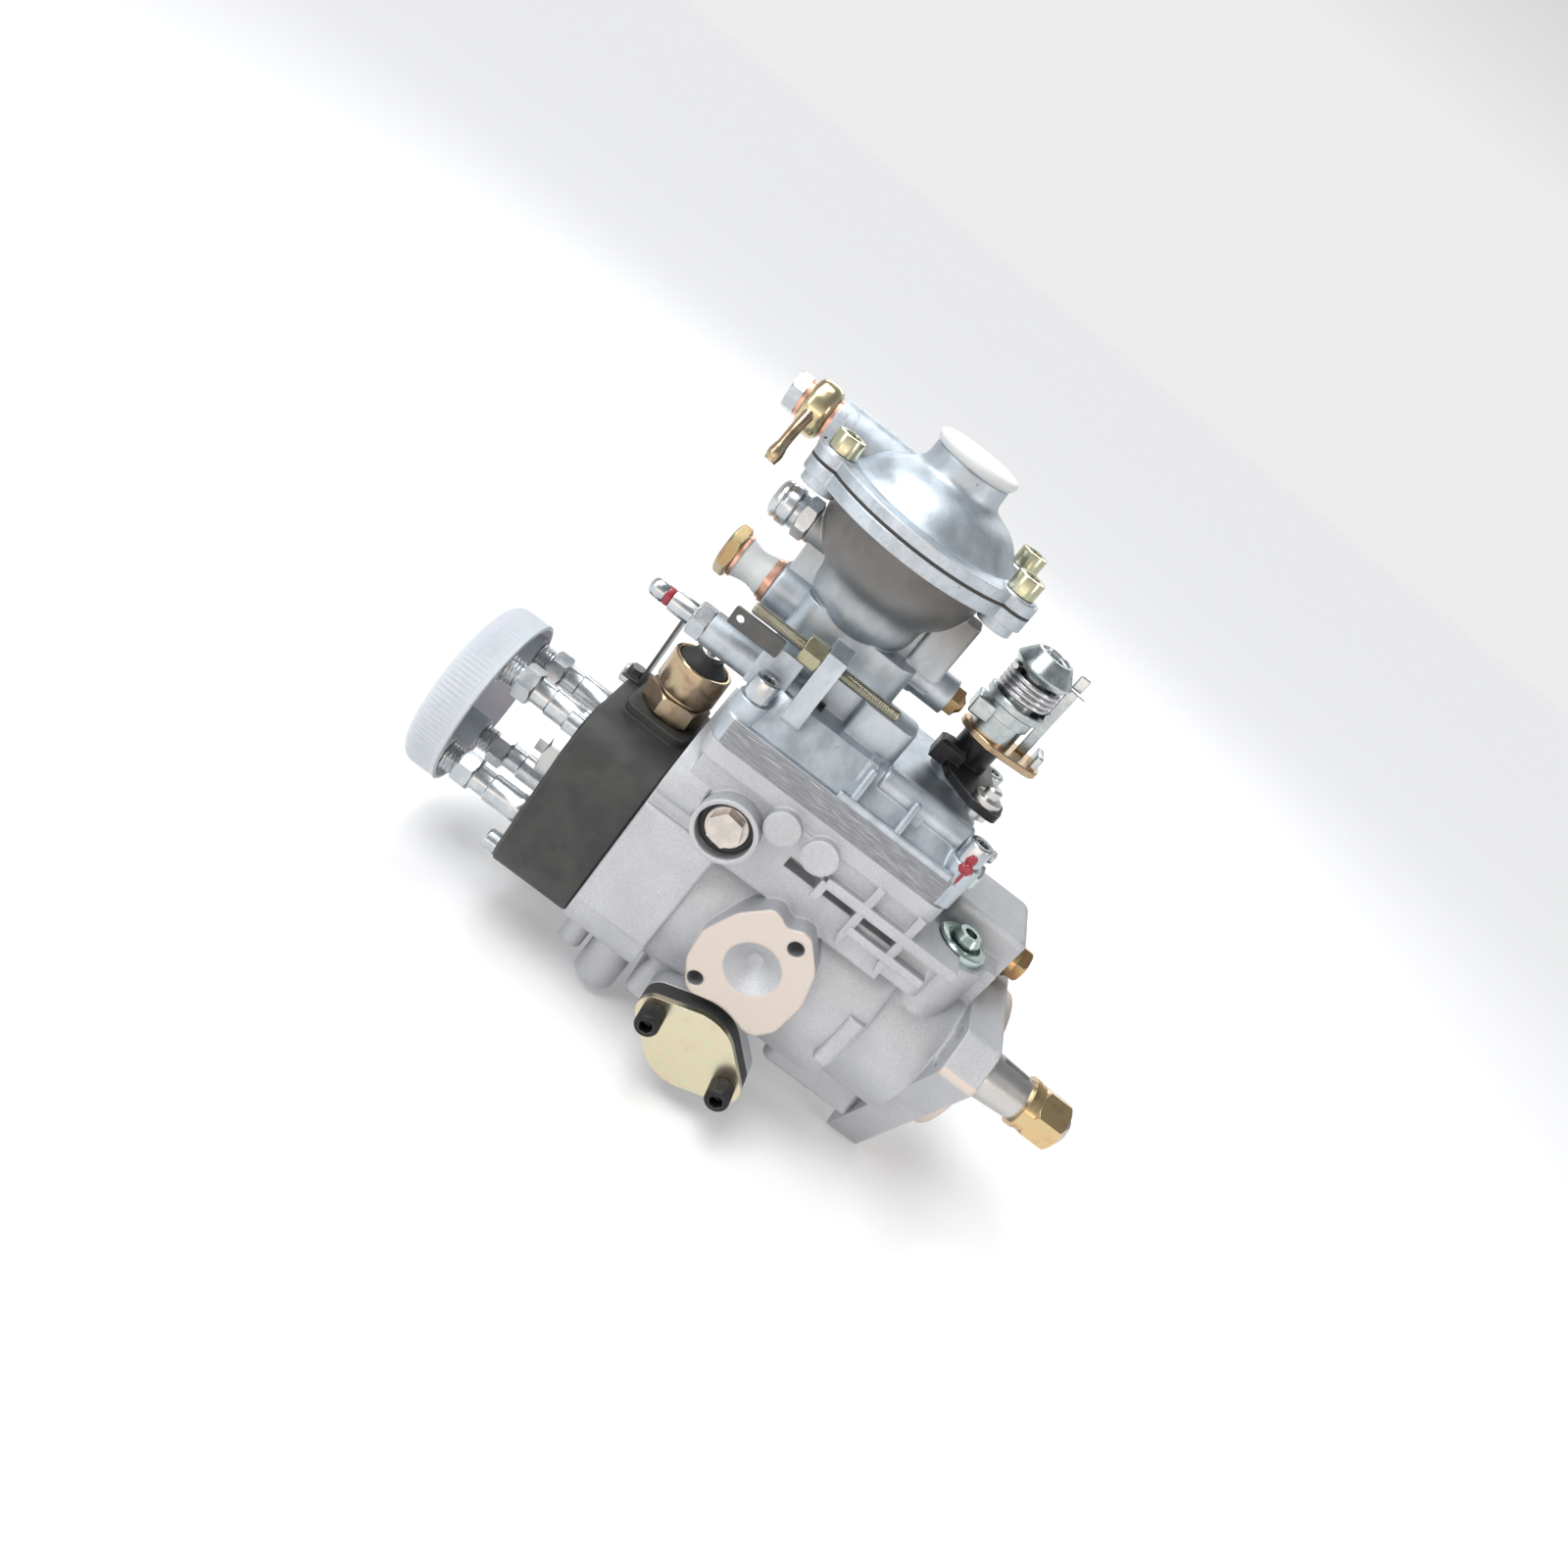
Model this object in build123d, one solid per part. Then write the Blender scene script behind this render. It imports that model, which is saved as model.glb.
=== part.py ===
from build123d import *
import math
import os

os.makedirs("parts", exist_ok=True)

# Rotary diesel injection pump, in millimetres.
# The origin is the centre of the mounting flange's front face. +X runs out along the drive shaft,
# +Z runs up to the boost capsule, and the accessory pad is on the -Y side.

# General clearances
running_gap = 0.05
free_gap = 0.3

# Mounting flange and its pilot
flange_thick = 16.0
flange_side = 36.0
flange_ear_cut = 56.0
flange_toe_cut = 69.0
flange_ear_round = 5.0
flange_toe_round = 2.4
pilot_radius = 34.0
pilot_height = 4.5
slot_circle = 46.0
slot_width = 11.0
slot_length = 20.0

# Drive shaft
taper_start_x = 17.0
taper_end_x = 37.0
taper_big_radius = 11.5
taper_small_radius = 10.2
thread_radius = 7.0
shaft_end_x = 60.0
keyway_width = 4.0
keyway_depth = 2.0
key_width = 4.0
key_rise = 2.5
seal_radius = 18.0
seal_depth = 9.0
yoke_front_x = -60.0
gear_seat_radius = 15.0
yoke_start_x = -70.0
yoke_radius = 16.5
claw_front_x = -84.0
claw_length = 12.0
claw_inner_radius = 8.0
claw_sector = 78.0
washer_radius = 12.0
washer_thick = 2.8
spring_washer_thick = 2.8
nut_across_flats = 22.0
nut_thick = 14.0

# Housing
barrel_radius = 45.0
barrel_rear_x = -132.0
neck_radius = 40.0
neck_x = -44.0
block_rear_x = -166.0
block_half = 44.0
block_corner = 20.0
joint_z = 69.0
top_front_x = -54.0
top_rear_x = -163.0
top_half = 44.0
upper_wall_half = 42.0
upper_wall_foot_z = 28.0
chamber_half = 31.0
chamber_front_x = -60.0
chamber_rear_x = -151.0
cam_bore_radius = 37.0

# Accessory pad on the near side
pad_face_y = -52.0
pad_x = -95.5
pad_z = 4.0
pad_recess_radius = 11.8
pad_recess_depth = 7.0
pad_hole_radius = 3.4
pad_hole_depth = 15.0
pad_hole_pcd = 43.4
pad_hole_angle = 59.4

# Near side of the casting: rear box, ribs, pockets and plain bosses
near_box_y = -47.0
near_box_foot_z = -21.0
near_box_top_z = 32.5
near_rib_y = -46.0
upper_rib_z = 50.8
upper_rib_thick = 4.4
lower_rib_z = 40.2
lower_rib_thick = 3.6
lower_rib_front_x = -42.2
upright_rib_xs = (-95.0, -77.3, -58.5)
upright_rib_thick = 3.4
upright_rib_foot_z = 31.0
near_pocket_rear_x = -112.6
near_pocket_foot_z = 43.6
near_pocket_depth = 8.0
front_wall_y = -41.0
plain_boss_xs = (-120.3, -103.0)
plain_boss_z = 58.2
plain_boss_radius = 7.2
plain_boss_y = -48.5
column_radius = 9.5
column_y = 36.5
column_z = 43.0
near_lug_x = -50.3
near_lug_half = 3.7
near_lug_foot_z = -14.0
near_lug_top_z = 11.0

# Timing device across the bottom
timing_x = -94.0
timing_z = -40.5
timing_bore_radius = 13.5
timing_shell_radius = 18.5
timing_flange_y = 45.0
timing_flange_thick = 9.0
timing_spacer_thick = 8.0
timing_cover_thick = 3.0
timing_ear_x = 20.0
timing_ear_z = 4.5
timing_ear_radius = 7.5
timing_screw_head_radius = 5.1
timing_screw_head_height = 9.5
timing_screw_radius = 3.0
timing_piston_half = 24.0
timing_travel = 4.2
timing_ball_radius = 6.0
timing_ball_bore = 6.3
timing_pin_radius = 3.7
timing_spring_bore = 9.0
timing_spring_depth = 13.0

# Vane feed pump
feed_front_x = -36.0
feed_ring_width = 12.0
feed_ring_radius = 33.0
feed_bore_radius = 25.5
feed_offset = 2.2
feed_rotor_radius = 22.0
vane_thick = 3.0
vane_count = 4
feed_plate_thick = 5.0
feed_plate_rear_x = feed_front_x - feed_ring_width - feed_plate_thick
vane_foot_radius = 15.0

# Governor gears and flyweights
gear_module = 1.5
drive_teeth = 40
governor_teeth = 24
gear_width = 8.0
gear_front_x = -61.0
gear_backlash = 0.12
pressure_angle = math.radians(20)
governor_axis_z = gear_module * (drive_teeth + governor_teeth) / 2
governor_pin_end_x = -98.0
governor_pin_radius = 4.0
cage_radius = 18.0
cage_wall = 2.0
cage_front_x = -72.0
cage_length = 16.0
flyweight_count = 4
flyweight_outer = 16.0
flyweight_inner = 9.6
flyweight_length = 15.0
flyweight_half = 7.0
hinge_x = -73.85
hinge_radius = 14.2
hinge_pin_radius = 1.0
toe_reach = 6.0
sleeve_outer = 6.6
sleeve_length = 29.5
sleeve_travel = 2.0
sleeve_front_x = -75.5
sleeve_flange_radius = 9.0

# Cam plate, rollers and plunger
ring_front_x = -86.0
ring_width = 12.0
ring_inner = 18.5
ring_outer = 26.0
roller_radius = 5.5
roller_length = 6.0
roller_count = 4
roller_x = -96.5
roller_far_radius = 25.0
cam_peak_x = roller_x - roller_radius - free_gap
cam_outer = 25.0
cam_inner = 17.0
cam_lift = 2.2
cam_plate_thick = 6.0
plunger_radius = 5.0
plunger_end_x = -190.0
collar_radius = 11.0
collar_width = 10.0
collar_x = -128.0
lever_pivot_z = 27.0
lever_pin_radius = 2.5
lever_ball_radius = 2.4
bridge_x = -118.0
spring_y = 19.0
spring_pin_radius = 2.0

# Distributor head
head_thick = 37.0
head_half = 42.0
head_corner = 20.0
head_spigot_radius = cam_bore_radius - running_gap
head_seal_wire = 1.2
head_spigot_length = 8.0
barrel_sleeve_radius = 11.0
outlet_circle = 31.0
outlet_start = 32.5
outlet_count = 4
holder_radius = 6.2
holder_neck_radius = 5.4
holder_hex = 14.0
holder_hex_x = -227.0
holder_hex_thick = 8.0
holder_thread_radius = 6.0
holder_end_x = -245.0
holder_bore = 2.2
head_bolt_circle = 46.0
head_bolt_radius = 3.0
head_bolt_head_radius = 4.6
head_bolt_head_height = 6.0
center_plug_hex = 24.0
center_plug_height = 9.0
center_plug_radius = 9.0
valve_chamber_radius = 4.2

# White shipping cap over the outlets
cap_radius = 39.5
cap_wall = 1.4
cap_rear_x = -258.5
cap_front_x = -241.0
cap_plug_depth = 7.0

# Stop solenoid
solenoid_x = -181.0
solenoid_seat_z = 46.0
solenoid_hex = 24.0
solenoid_hex_height = 10.0
solenoid_body_radius = 12.9
solenoid_body_height = 15.5
solenoid_cap_radius = 10.4
solenoid_cap_height = 4.5
armature_radius = 5.0
armature_travel = 2.5
solenoid_thread_radius = 10.0

# Strip on the head behind the solenoid
strip_x = -197.6
strip_y = 14.0
strip_width = 12.0
strip_thick = 1.4
strip_top_z = 79.0
strip_lip = 9.0
strip_foot = 8.4
strip_screw_hex = 6.0

# Governor cover
cover_flange_height = 11.0
cover_roof_z = 94.0
cover_half = 44.0
cover_roof_half = 37.0
cover_wall = 4.0
cover_rear_x = -163.0
cover_front_x = -55.0
cover_screw_y = 36.0
cover_screw_rear_x = -157.0
cover_screw_front_x = -59.5
cover_screw_head_radius = 5.2
cover_screw_head_height = 9.0
cover_screw_seat_z = 88.0
cover_screw_radius = 3.0

# Boost capsule on the cover
boost_x = -145.5
boost_split_z = 167.0
boost_lower_thick = 5.0
boost_upper_thick = 4.0
boost_flange_radius = 46.5
boost_screw_x = 38.8
boost_screw_y = 21.0
boost_ear_radius = 8.5
boost_bowl_top_radius = 34.0
boost_bowl_radius = 22.5
boost_bowl_bottom_z = 120.0
boost_pocket_radius = 29.0
boost_shoulder_radius = 25.0
boost_shoulder_z = 181.5
boost_neck_radius = 14.8
boost_neck_top_z = 191.5
dust_cap_radius = 16.6
dust_cap_height = 7.5
arm_z = 175.5
arm_radius = 9.6
arm_end_x = -194.5
diaphragm_thick = 1.2
boost_travel = 4.0
boost_pin_radius = 4.0
boost_screw_radius = 2.5
boost_screw_depth = 7.0
boost_lower_ear = 9.0
boost_screw_seat_z = boost_split_z + diaphragm_thick + boost_upper_thick + 0.6
banjo_thread_radius = 5.0
banjo_washer = 1.5
boost_plug_x = -178.5
boost_plug_z = 142.0
boost_plug_radius = 5.0

# Return outlet, full-load screw and speed screw on the cover
return_z = 115.0
return_boss_radius = 9.2
return_boss_end_x = -178.0
return_bolt_hex = 19.0
return_thread_radius = 6.0
return_passage_radius = 3.0
full_load_y = -20.0
full_load_z = 92.5
full_load_radius = 4.0
full_load_barrel_radius = 7.2
full_load_barrel_end_x = -186.5
full_load_tip_x = -213.0
full_load_nut_hex = 13.0
speed_y = -30.0
speed_z = 113.0
speed_radius = 2.5
speed_rear_x = -177.0
speed_front_x = -112.0
speed_nut_hex = 10.0
speed_lug_x = -142.0
speed_lug_thick = 8.0
lead_block_rear_x = -165.0
lead_block_front_x = -150.0
lead_block_y = -29.4
lead_block_top_z = 106.5
bracket_rear_x = -182.0
bracket_length = 22.0
bracket_thick = 1.6
bracket_height = 7.4
bracket_top_z = 109.9
bracket_eye_radius = 1.6
cross_boss_z = 121.5
cross_boss_radius = 7.5
cross_boss_end_x = -99.0

# Control lever
control_x = -77.0
control_y = 8.0
control_radius = 4.5
control_boss_radius = 10.5
control_boss_z = 99.0
lever_z = 101.0
lever_thick = 3.5
coil_radius = 12.2
coil_wire = 1.5
arm_bottom_z = lever_z + 14.0
arm_thick = 3.0
coil_bottom_z = arm_bottom_z + 16.0
coil_top_z = coil_bottom_z + 18.0
coil_turns = 4.6
sleeve_block_reach = 14.0
control_cap_height = 8.0
crank_z = 78.0
stud_radius = 3.2
stud_x = -66.0
stud_y = -20.0

# Pressure valve and inlet
pressure_x = -35.0
pressure_y = -21.0
pressure_boss_radius = 14.0
pressure_seat_z = 50.0
pressure_bore_radius = 7.0
pressure_foot_z = 33.0
pressure_ring_radius = 11.0
pressure_ring_inner = 7.8
pressure_hub_radius = 6.0
pressure_hub_top_z = 58.5
pressure_hub_hole = 2.8
pressure_travel = 3.0
inlet_y = 10.0
inlet_z = 46.0
inlet_face_x = -10.0
inlet_hex = 14.0
inlet_radius = 6.0
inlet_washer_thick = 4.0
pressure_piston_radius = 4.2
side_plug_x = -136.5
side_plug_z = 44.0
side_plug_radius = 7.0
side_plug_hex = 12.6
side_plug_collar = 8.4
side_plug_top_y = -49.6
side_boss_radius = 13.2
side_boss_y = -50.5
side_seat_radius = 11.3
side_seat_y = -45.0


# Small helpers for solids laid along the axes
def cyl_x(radius, x0, x1, y=0.0, z=0.0):
    return Pos((x0 + x1) / 2, y, z) * Rot(0, 90, 0) * Cylinder(radius, abs(x1 - x0))


def cyl_y(radius, y0, y1, x=0.0, z=0.0):
    return Pos(x, (y0 + y1) / 2, z) * Rot(90, 0, 0) * Cylinder(radius, abs(y1 - y0))


def cyl_z(radius, z0, z1, x=0.0, y=0.0):
    return Pos(x, y, (z0 + z1) / 2) * Cylinder(radius, abs(z1 - z0))


def block(x0, x1, y0, y1, z0, z1):
    return Pos((x0 + x1) / 2, (y0 + y1) / 2, (z0 + z1) / 2) * Box(abs(x1 - x0), abs(y1 - y0), abs(z1 - z0))


def hex_x(across, x0, x1, y=0.0, z=0.0, turn=0.0):
    face = RegularPolygon(across / 2, 6, major_radius=False)
    return Pos(min(x0, x1), y, z) * Rot(turn, 0, 0) * Rot(0, 90, 0) * extrude(face, abs(x1 - x0))


def hex_z(across, z0, z1, x=0.0, y=0.0, turn=0.0):
    face = RegularPolygon(across / 2, 6, major_radius=False)
    return Pos(x, y, min(z0, z1)) * Rot(0, 0, turn) * extrude(face, abs(z1 - z0))


def hex_y(across, y0, y1, x=0.0, z=0.0, turn=0.0):
    face = RegularPolygon(across / 2, 6, major_radius=False)
    return Pos(x, max(y0, y1), z) * Rot(0, turn, 0) * Rot(90, 0, 0) * extrude(face, abs(y1 - y0))


def cone_x(r0, x0, r1, x1, y=0.0, z=0.0):
    profile = make_face(Polyline((x0, 0), (x0, r0), (x1, r1), (x1, 0), close=True))
    return Pos(0, y, z) * revolve(Plane.XZ * profile, Axis.X)


def turned_x(points, y=0.0, z=0.0):
    """Solid turned about an X-wise line from (x, radius) points."""
    profile = make_face(Polyline(*points, close=True))
    return Pos(0, y, z) * revolve(Plane.XZ * profile, Axis.X)


def turned_z(points, x=0.0, y=0.0):
    """Solid turned about an upright line from (radius, z) points."""
    profile = make_face(Polyline(*points, close=True))
    return Pos(x, y, 0) * revolve(Plane.XZ * profile, Axis.Z)


def plate_x(points, x0, x1, radii=None):
    """Plate across X whose outline is a closed run of (y, z) points."""
    outline = Polyline(*points, close=True) if radii is None else FilletPolyline(*points, radius=radii, close=True)
    return Pos(min(x0, x1), 0, 0) * extrude(Plane.YZ * make_face(outline), abs(x1 - x0))


def plate_y(points, y0, y1, radii=None):
    """Plate across Y whose outline is a closed run of (x, z) points."""
    outline = Polyline(*points, close=True) if radii is None else FilletPolyline(*points, radius=radii, close=True)
    return Pos(0, max(y0, y1), 0) * extrude(Plane.XZ * make_face(outline), abs(y1 - y0))


def plate_z(points, z0, z1, radii=None):
    """Plate across Z whose outline is a closed run of (x, y) points."""
    outline = Polyline(*points, close=True) if radii is None else FilletPolyline(*points, radius=radii, close=True)
    return Pos(0, 0, min(z0, z1)) * extrude(Plane.XY * make_face(outline), abs(z1 - z0))


def rounded_block_x(x0, x1, y0, y1, z0, z1, corner):
    face = Pos((y0 + y1) / 2, (z0 + z1) / 2) * RectangleRounded(abs(y1 - y0), abs(z1 - z0), corner)
    return Pos(min(x0, x1), 0, 0) * extrude(Plane.YZ * face, abs(x1 - x0))


def rounded_block_z(x0, x1, y0, y1, z0, z1, corner):
    face = Pos((x0 + x1) / 2, (y0 + y1) / 2) * RectangleRounded(abs(x1 - x0), abs(y1 - y0), corner)
    return Pos(0, 0, min(z0, z1)) * extrude(face, abs(z1 - z0))


def socket_screw_z(x, y, seat_z, head_radius, head_height, shank_radius, depth, socket):
    screw = cyl_z(head_radius, seat_z, seat_z + head_height, x, y)
    screw = chamfer(screw.edges().group_by(Axis.Z)[-1], 0.5)
    screw += cyl_z(shank_radius, seat_z - depth, seat_z, x, y)
    return screw - hex_z(socket, seat_z + head_height * 0.45, seat_z + head_height + 1, x, y)


def turned_places(count, radius, start):
    """(y, z) places evenly spaced on a circle round the shaft axis."""
    places = []
    for k in range(count):
        angle = math.radians(start + 360.0 * k / count)
        places.append((radius * math.cos(angle), radius * math.sin(angle)))
    return places


# Mounting flange outline, as (y, z) points, with the corner towards each direction cut off square
def flange_outline(side, cuts):
    points = []
    for direction, cut in cuts:
        angle = math.radians(direction)
        reach = (side - cut * math.cos(math.radians(60))) / math.sin(math.radians(60))
        for sign in (-1, 1):
            y = cut * math.cos(angle) - sign * reach * math.sin(angle)
            z = cut * math.sin(angle) + sign * reach * math.cos(angle)
            points.append((y, z))
    return points


def flange_slots(x0, x1):
    """The three arc-wise slots, one in each ear."""
    slots = []
    face = SlotOverall(slot_length, slot_width)
    for direction in (30, 150, 270):
        tool = extrude(Plane.YZ * (Rot(0, 0, direction) * Pos(slot_circle, 0) * Rot(0, 0, 90) * face), x1 - x0)
        slots.append(Pos(x0, 0, 0) * tool)
    return slots


# Accessory pad outline, as (x, z) points about the pad's centre
def pad_outline(margin=0.0):
    wide = 24.0 + margin
    return [
        (-wide, 2.0), (-wide * 0.76, 17.0), (-7.5, 29.0 + margin), (0.0, 24.5 + margin),
        (8.0, 29.0 + margin), (wide * 0.82, 16.0), (wide, 1.0), (wide * 0.96, -16.0),
        (16.5, -25.0 - margin), (0.0, -20.5 - margin), (-14.5, -25.0 - margin), (-wide * 0.94, -12.0),
    ]


pad_rounds = [9.0, 14.0, 5.0, 5.0, 5.0, 14.0, 12.0, 9.0, 6.0, 22.0, 6.0, 12.0]


def pad_holes():
    angle = math.radians(pad_hole_angle)
    reach = pad_hole_pcd / 2
    places = []
    for sign in (-1, 1):
        x = pad_x - 3.5 + sign * reach * math.cos(angle)
        z = pad_z + 1.0 + sign * reach * math.sin(angle)
        places.append((x, z))
    return places


# Timing device end outline: a disc with two ears set a little across each other
def timing_outline(radius, y0, y1):
    disc = cyl_y(radius, y0, y1, timing_x, timing_z)
    ears = []
    for sign in (-1, 1):
        ears.append((timing_x + sign * timing_ear_x, timing_z - sign * timing_ear_z))
    links = None
    for x, z in ears:
        ear = cyl_y(timing_ear_radius, y0, y1, x, z)
        links = ear if links is None else links + ear
    reach = math.hypot(timing_ear_x, timing_ear_z)
    lean = math.degrees(math.asin((radius - timing_ear_radius) / reach))
    turn = math.degrees(math.atan2(-timing_ear_z, timing_ear_x))
    body = disc + links
    for end in (0, 180):
        for side in (-1, 1):
            angle = math.radians(turn + end + side * (90 - lean))
            a = (timing_x + radius * math.cos(angle), timing_z + radius * math.sin(angle))
            centre_x = timing_x + reach * math.cos(math.radians(turn + end))
            centre_z = timing_z + reach * math.sin(math.radians(turn + end))
            b = (centre_x + timing_ear_radius * math.cos(angle), centre_z + timing_ear_radius * math.sin(angle))
            points = [(timing_x, timing_z), a, b, (centre_x, centre_z)]
            body += plate_y(points, y0, y1)
    return body


def timing_screw_places():
    return [
        (timing_x - timing_ear_x, timing_z + timing_ear_z),
        (timing_x + timing_ear_x, timing_z - timing_ear_z),
    ]


def pump_housing():
    outline = flange_outline(flange_side, ((30, flange_ear_cut), (150, flange_ear_cut), (270, flange_toe_cut)))
    rounds = [flange_ear_round] * 4 + [flange_toe_round] * 2
    body = plate_x(outline, -flange_thick, 0, rounds)
    body += cyl_x(pilot_radius, 0, pilot_height)
    body += cyl_x(neck_radius, neck_x - 4, -flange_thick)
    barrel = cyl_x(barrel_radius, barrel_rear_x - 2, neck_x)
    barrel = fillet(barrel.edges().sort_by(Axis.X)[-1], 5)
    body += barrel
    # square rear block that carries the head
    body += rounded_block_x(block_rear_x, barrel_rear_x, -block_half, block_half, -head_half, 60, block_corner)
    # upper walls up to the cover joint
    body += rounded_block_z(top_rear_x, top_front_x, -top_half, top_half, joint_z - 8, joint_z, 7)
    body += block(block_rear_x + 6, chamber_front_x + 4, -upper_wall_half, upper_wall_half, upper_wall_foot_z, joint_z - 4)
    body += block(chamber_front_x, inlet_face_x - 6, -22, 26, 20, 50)
    # inlet block over the flange
    inlet = rounded_block_z(-46, inlet_face_x, -8, 30, 34, 62, 5)
    body += fillet(inlet.edges().group_by(Axis.Z)[-1], 3)
    # pressure valve boss
    body += cyl_z(pressure_boss_radius, 22, pressure_seat_z, pressure_x, pressure_y)
    # accessory pad
    shifted = [(pad_x + x, pad_z + z) for x, z in pad_outline()]
    body += plate_y(shifted, pad_face_y, -20, pad_rounds)
    # timing device shell with a flange at each end
    body += cyl_y(timing_shell_radius, -timing_flange_y, timing_flange_y, timing_x, timing_z)
    for sign in (-1, 1):
        inner = sign * (timing_flange_y - timing_flange_thick)
        body += timing_outline(timing_shell_radius, inner, sign * timing_flange_y)
    # bosses, ribs and lugs of the casting
    body = add_near_side(body)
    body += bottom_details()
    return body - housing_bores()


def add_near_side(body):
    """The casting with the box, ribs and bosses that stand proud on its near side."""
    box = block(block_rear_x, barrel_rear_x, near_box_y, -upper_wall_half + 2, near_box_foot_z, near_box_top_z)
    body += fillet(box.edges().group_by(Axis.Y)[0], 1.5)
    body += cyl_y(side_boss_radius, side_boss_y, -chamber_half, side_plug_x, side_plug_z)
    for x in plain_boss_xs:
        body += cyl_y(plain_boss_radius, plain_boss_y, -chamber_half, x, plain_boss_z)
    body += block(plain_boss_xs[0], plain_boss_xs[1], near_rib_y, -chamber_half, plain_boss_z - 2, joint_z - 7)
    # wall that carries on past the chamber to the valve boss
    wall = block(chamber_front_x + 2, pressure_x - 3, front_wall_y, -20, upright_rib_foot_z, upper_rib_z)
    body += fillet(wall.edges().filter_by(Axis.Z).group_by(Axis.X)[-1], 6)
    # long upper rib, running into the valve boss, and the shorter one below it
    half = upper_rib_thick / 2
    body += block(upright_rib_xs[0], pressure_x, near_rib_y, -20, upper_rib_z - half, upper_rib_z + half)
    half = lower_rib_thick / 2
    body += block(upright_rib_xs[1], lower_rib_front_x, near_rib_y, -20, lower_rib_z - half, lower_rib_z + half)
    # upright ribs: a short one, then two that taper to a point at the foot of the wall
    half = upright_rib_thick / 2
    x = upright_rib_xs[0]
    body += block(x - half, x + half, near_rib_y, -chamber_half, near_pocket_foot_z - 2, upper_rib_z)
    for x in upright_rib_xs[1:]:
        body += plate_y([
            (x - half, joint_z - 7), (x + half, joint_z - 7), (x + half, upright_rib_foot_z + 5),
            (x, upright_rib_foot_z), (x - half, upright_rib_foot_z + 5)], near_rib_y + 1, -20)
    # rounded columns beside the head's upper bolts
    body += cyl_x(column_radius, block_rear_x, side_plug_x - side_boss_radius, -column_y, column_z)
    body += cyl_x(column_radius, block_rear_x, side_plug_x - side_boss_radius, column_y, column_z)
    # small upright lug on the barrel
    lug = rounded_block_z(near_lug_x - near_lug_half, near_lug_x + near_lug_half, near_box_y, -chamber_half,
                          near_lug_foot_z, near_lug_top_z, 2)
    body += lug
    return body


def bottom_details():
    details = cyl_z(5.5, -57, -30, -158, -20)
    details += cyl_z(9.5, -64, -30, -141, -20)
    details += rounded_block_z(-128, -112, -30, 30, -54, -30, 5)
    details += rounded_block_z(-62, -flange_thick, -13, 13, -52, -34, 4)
    return details


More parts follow.
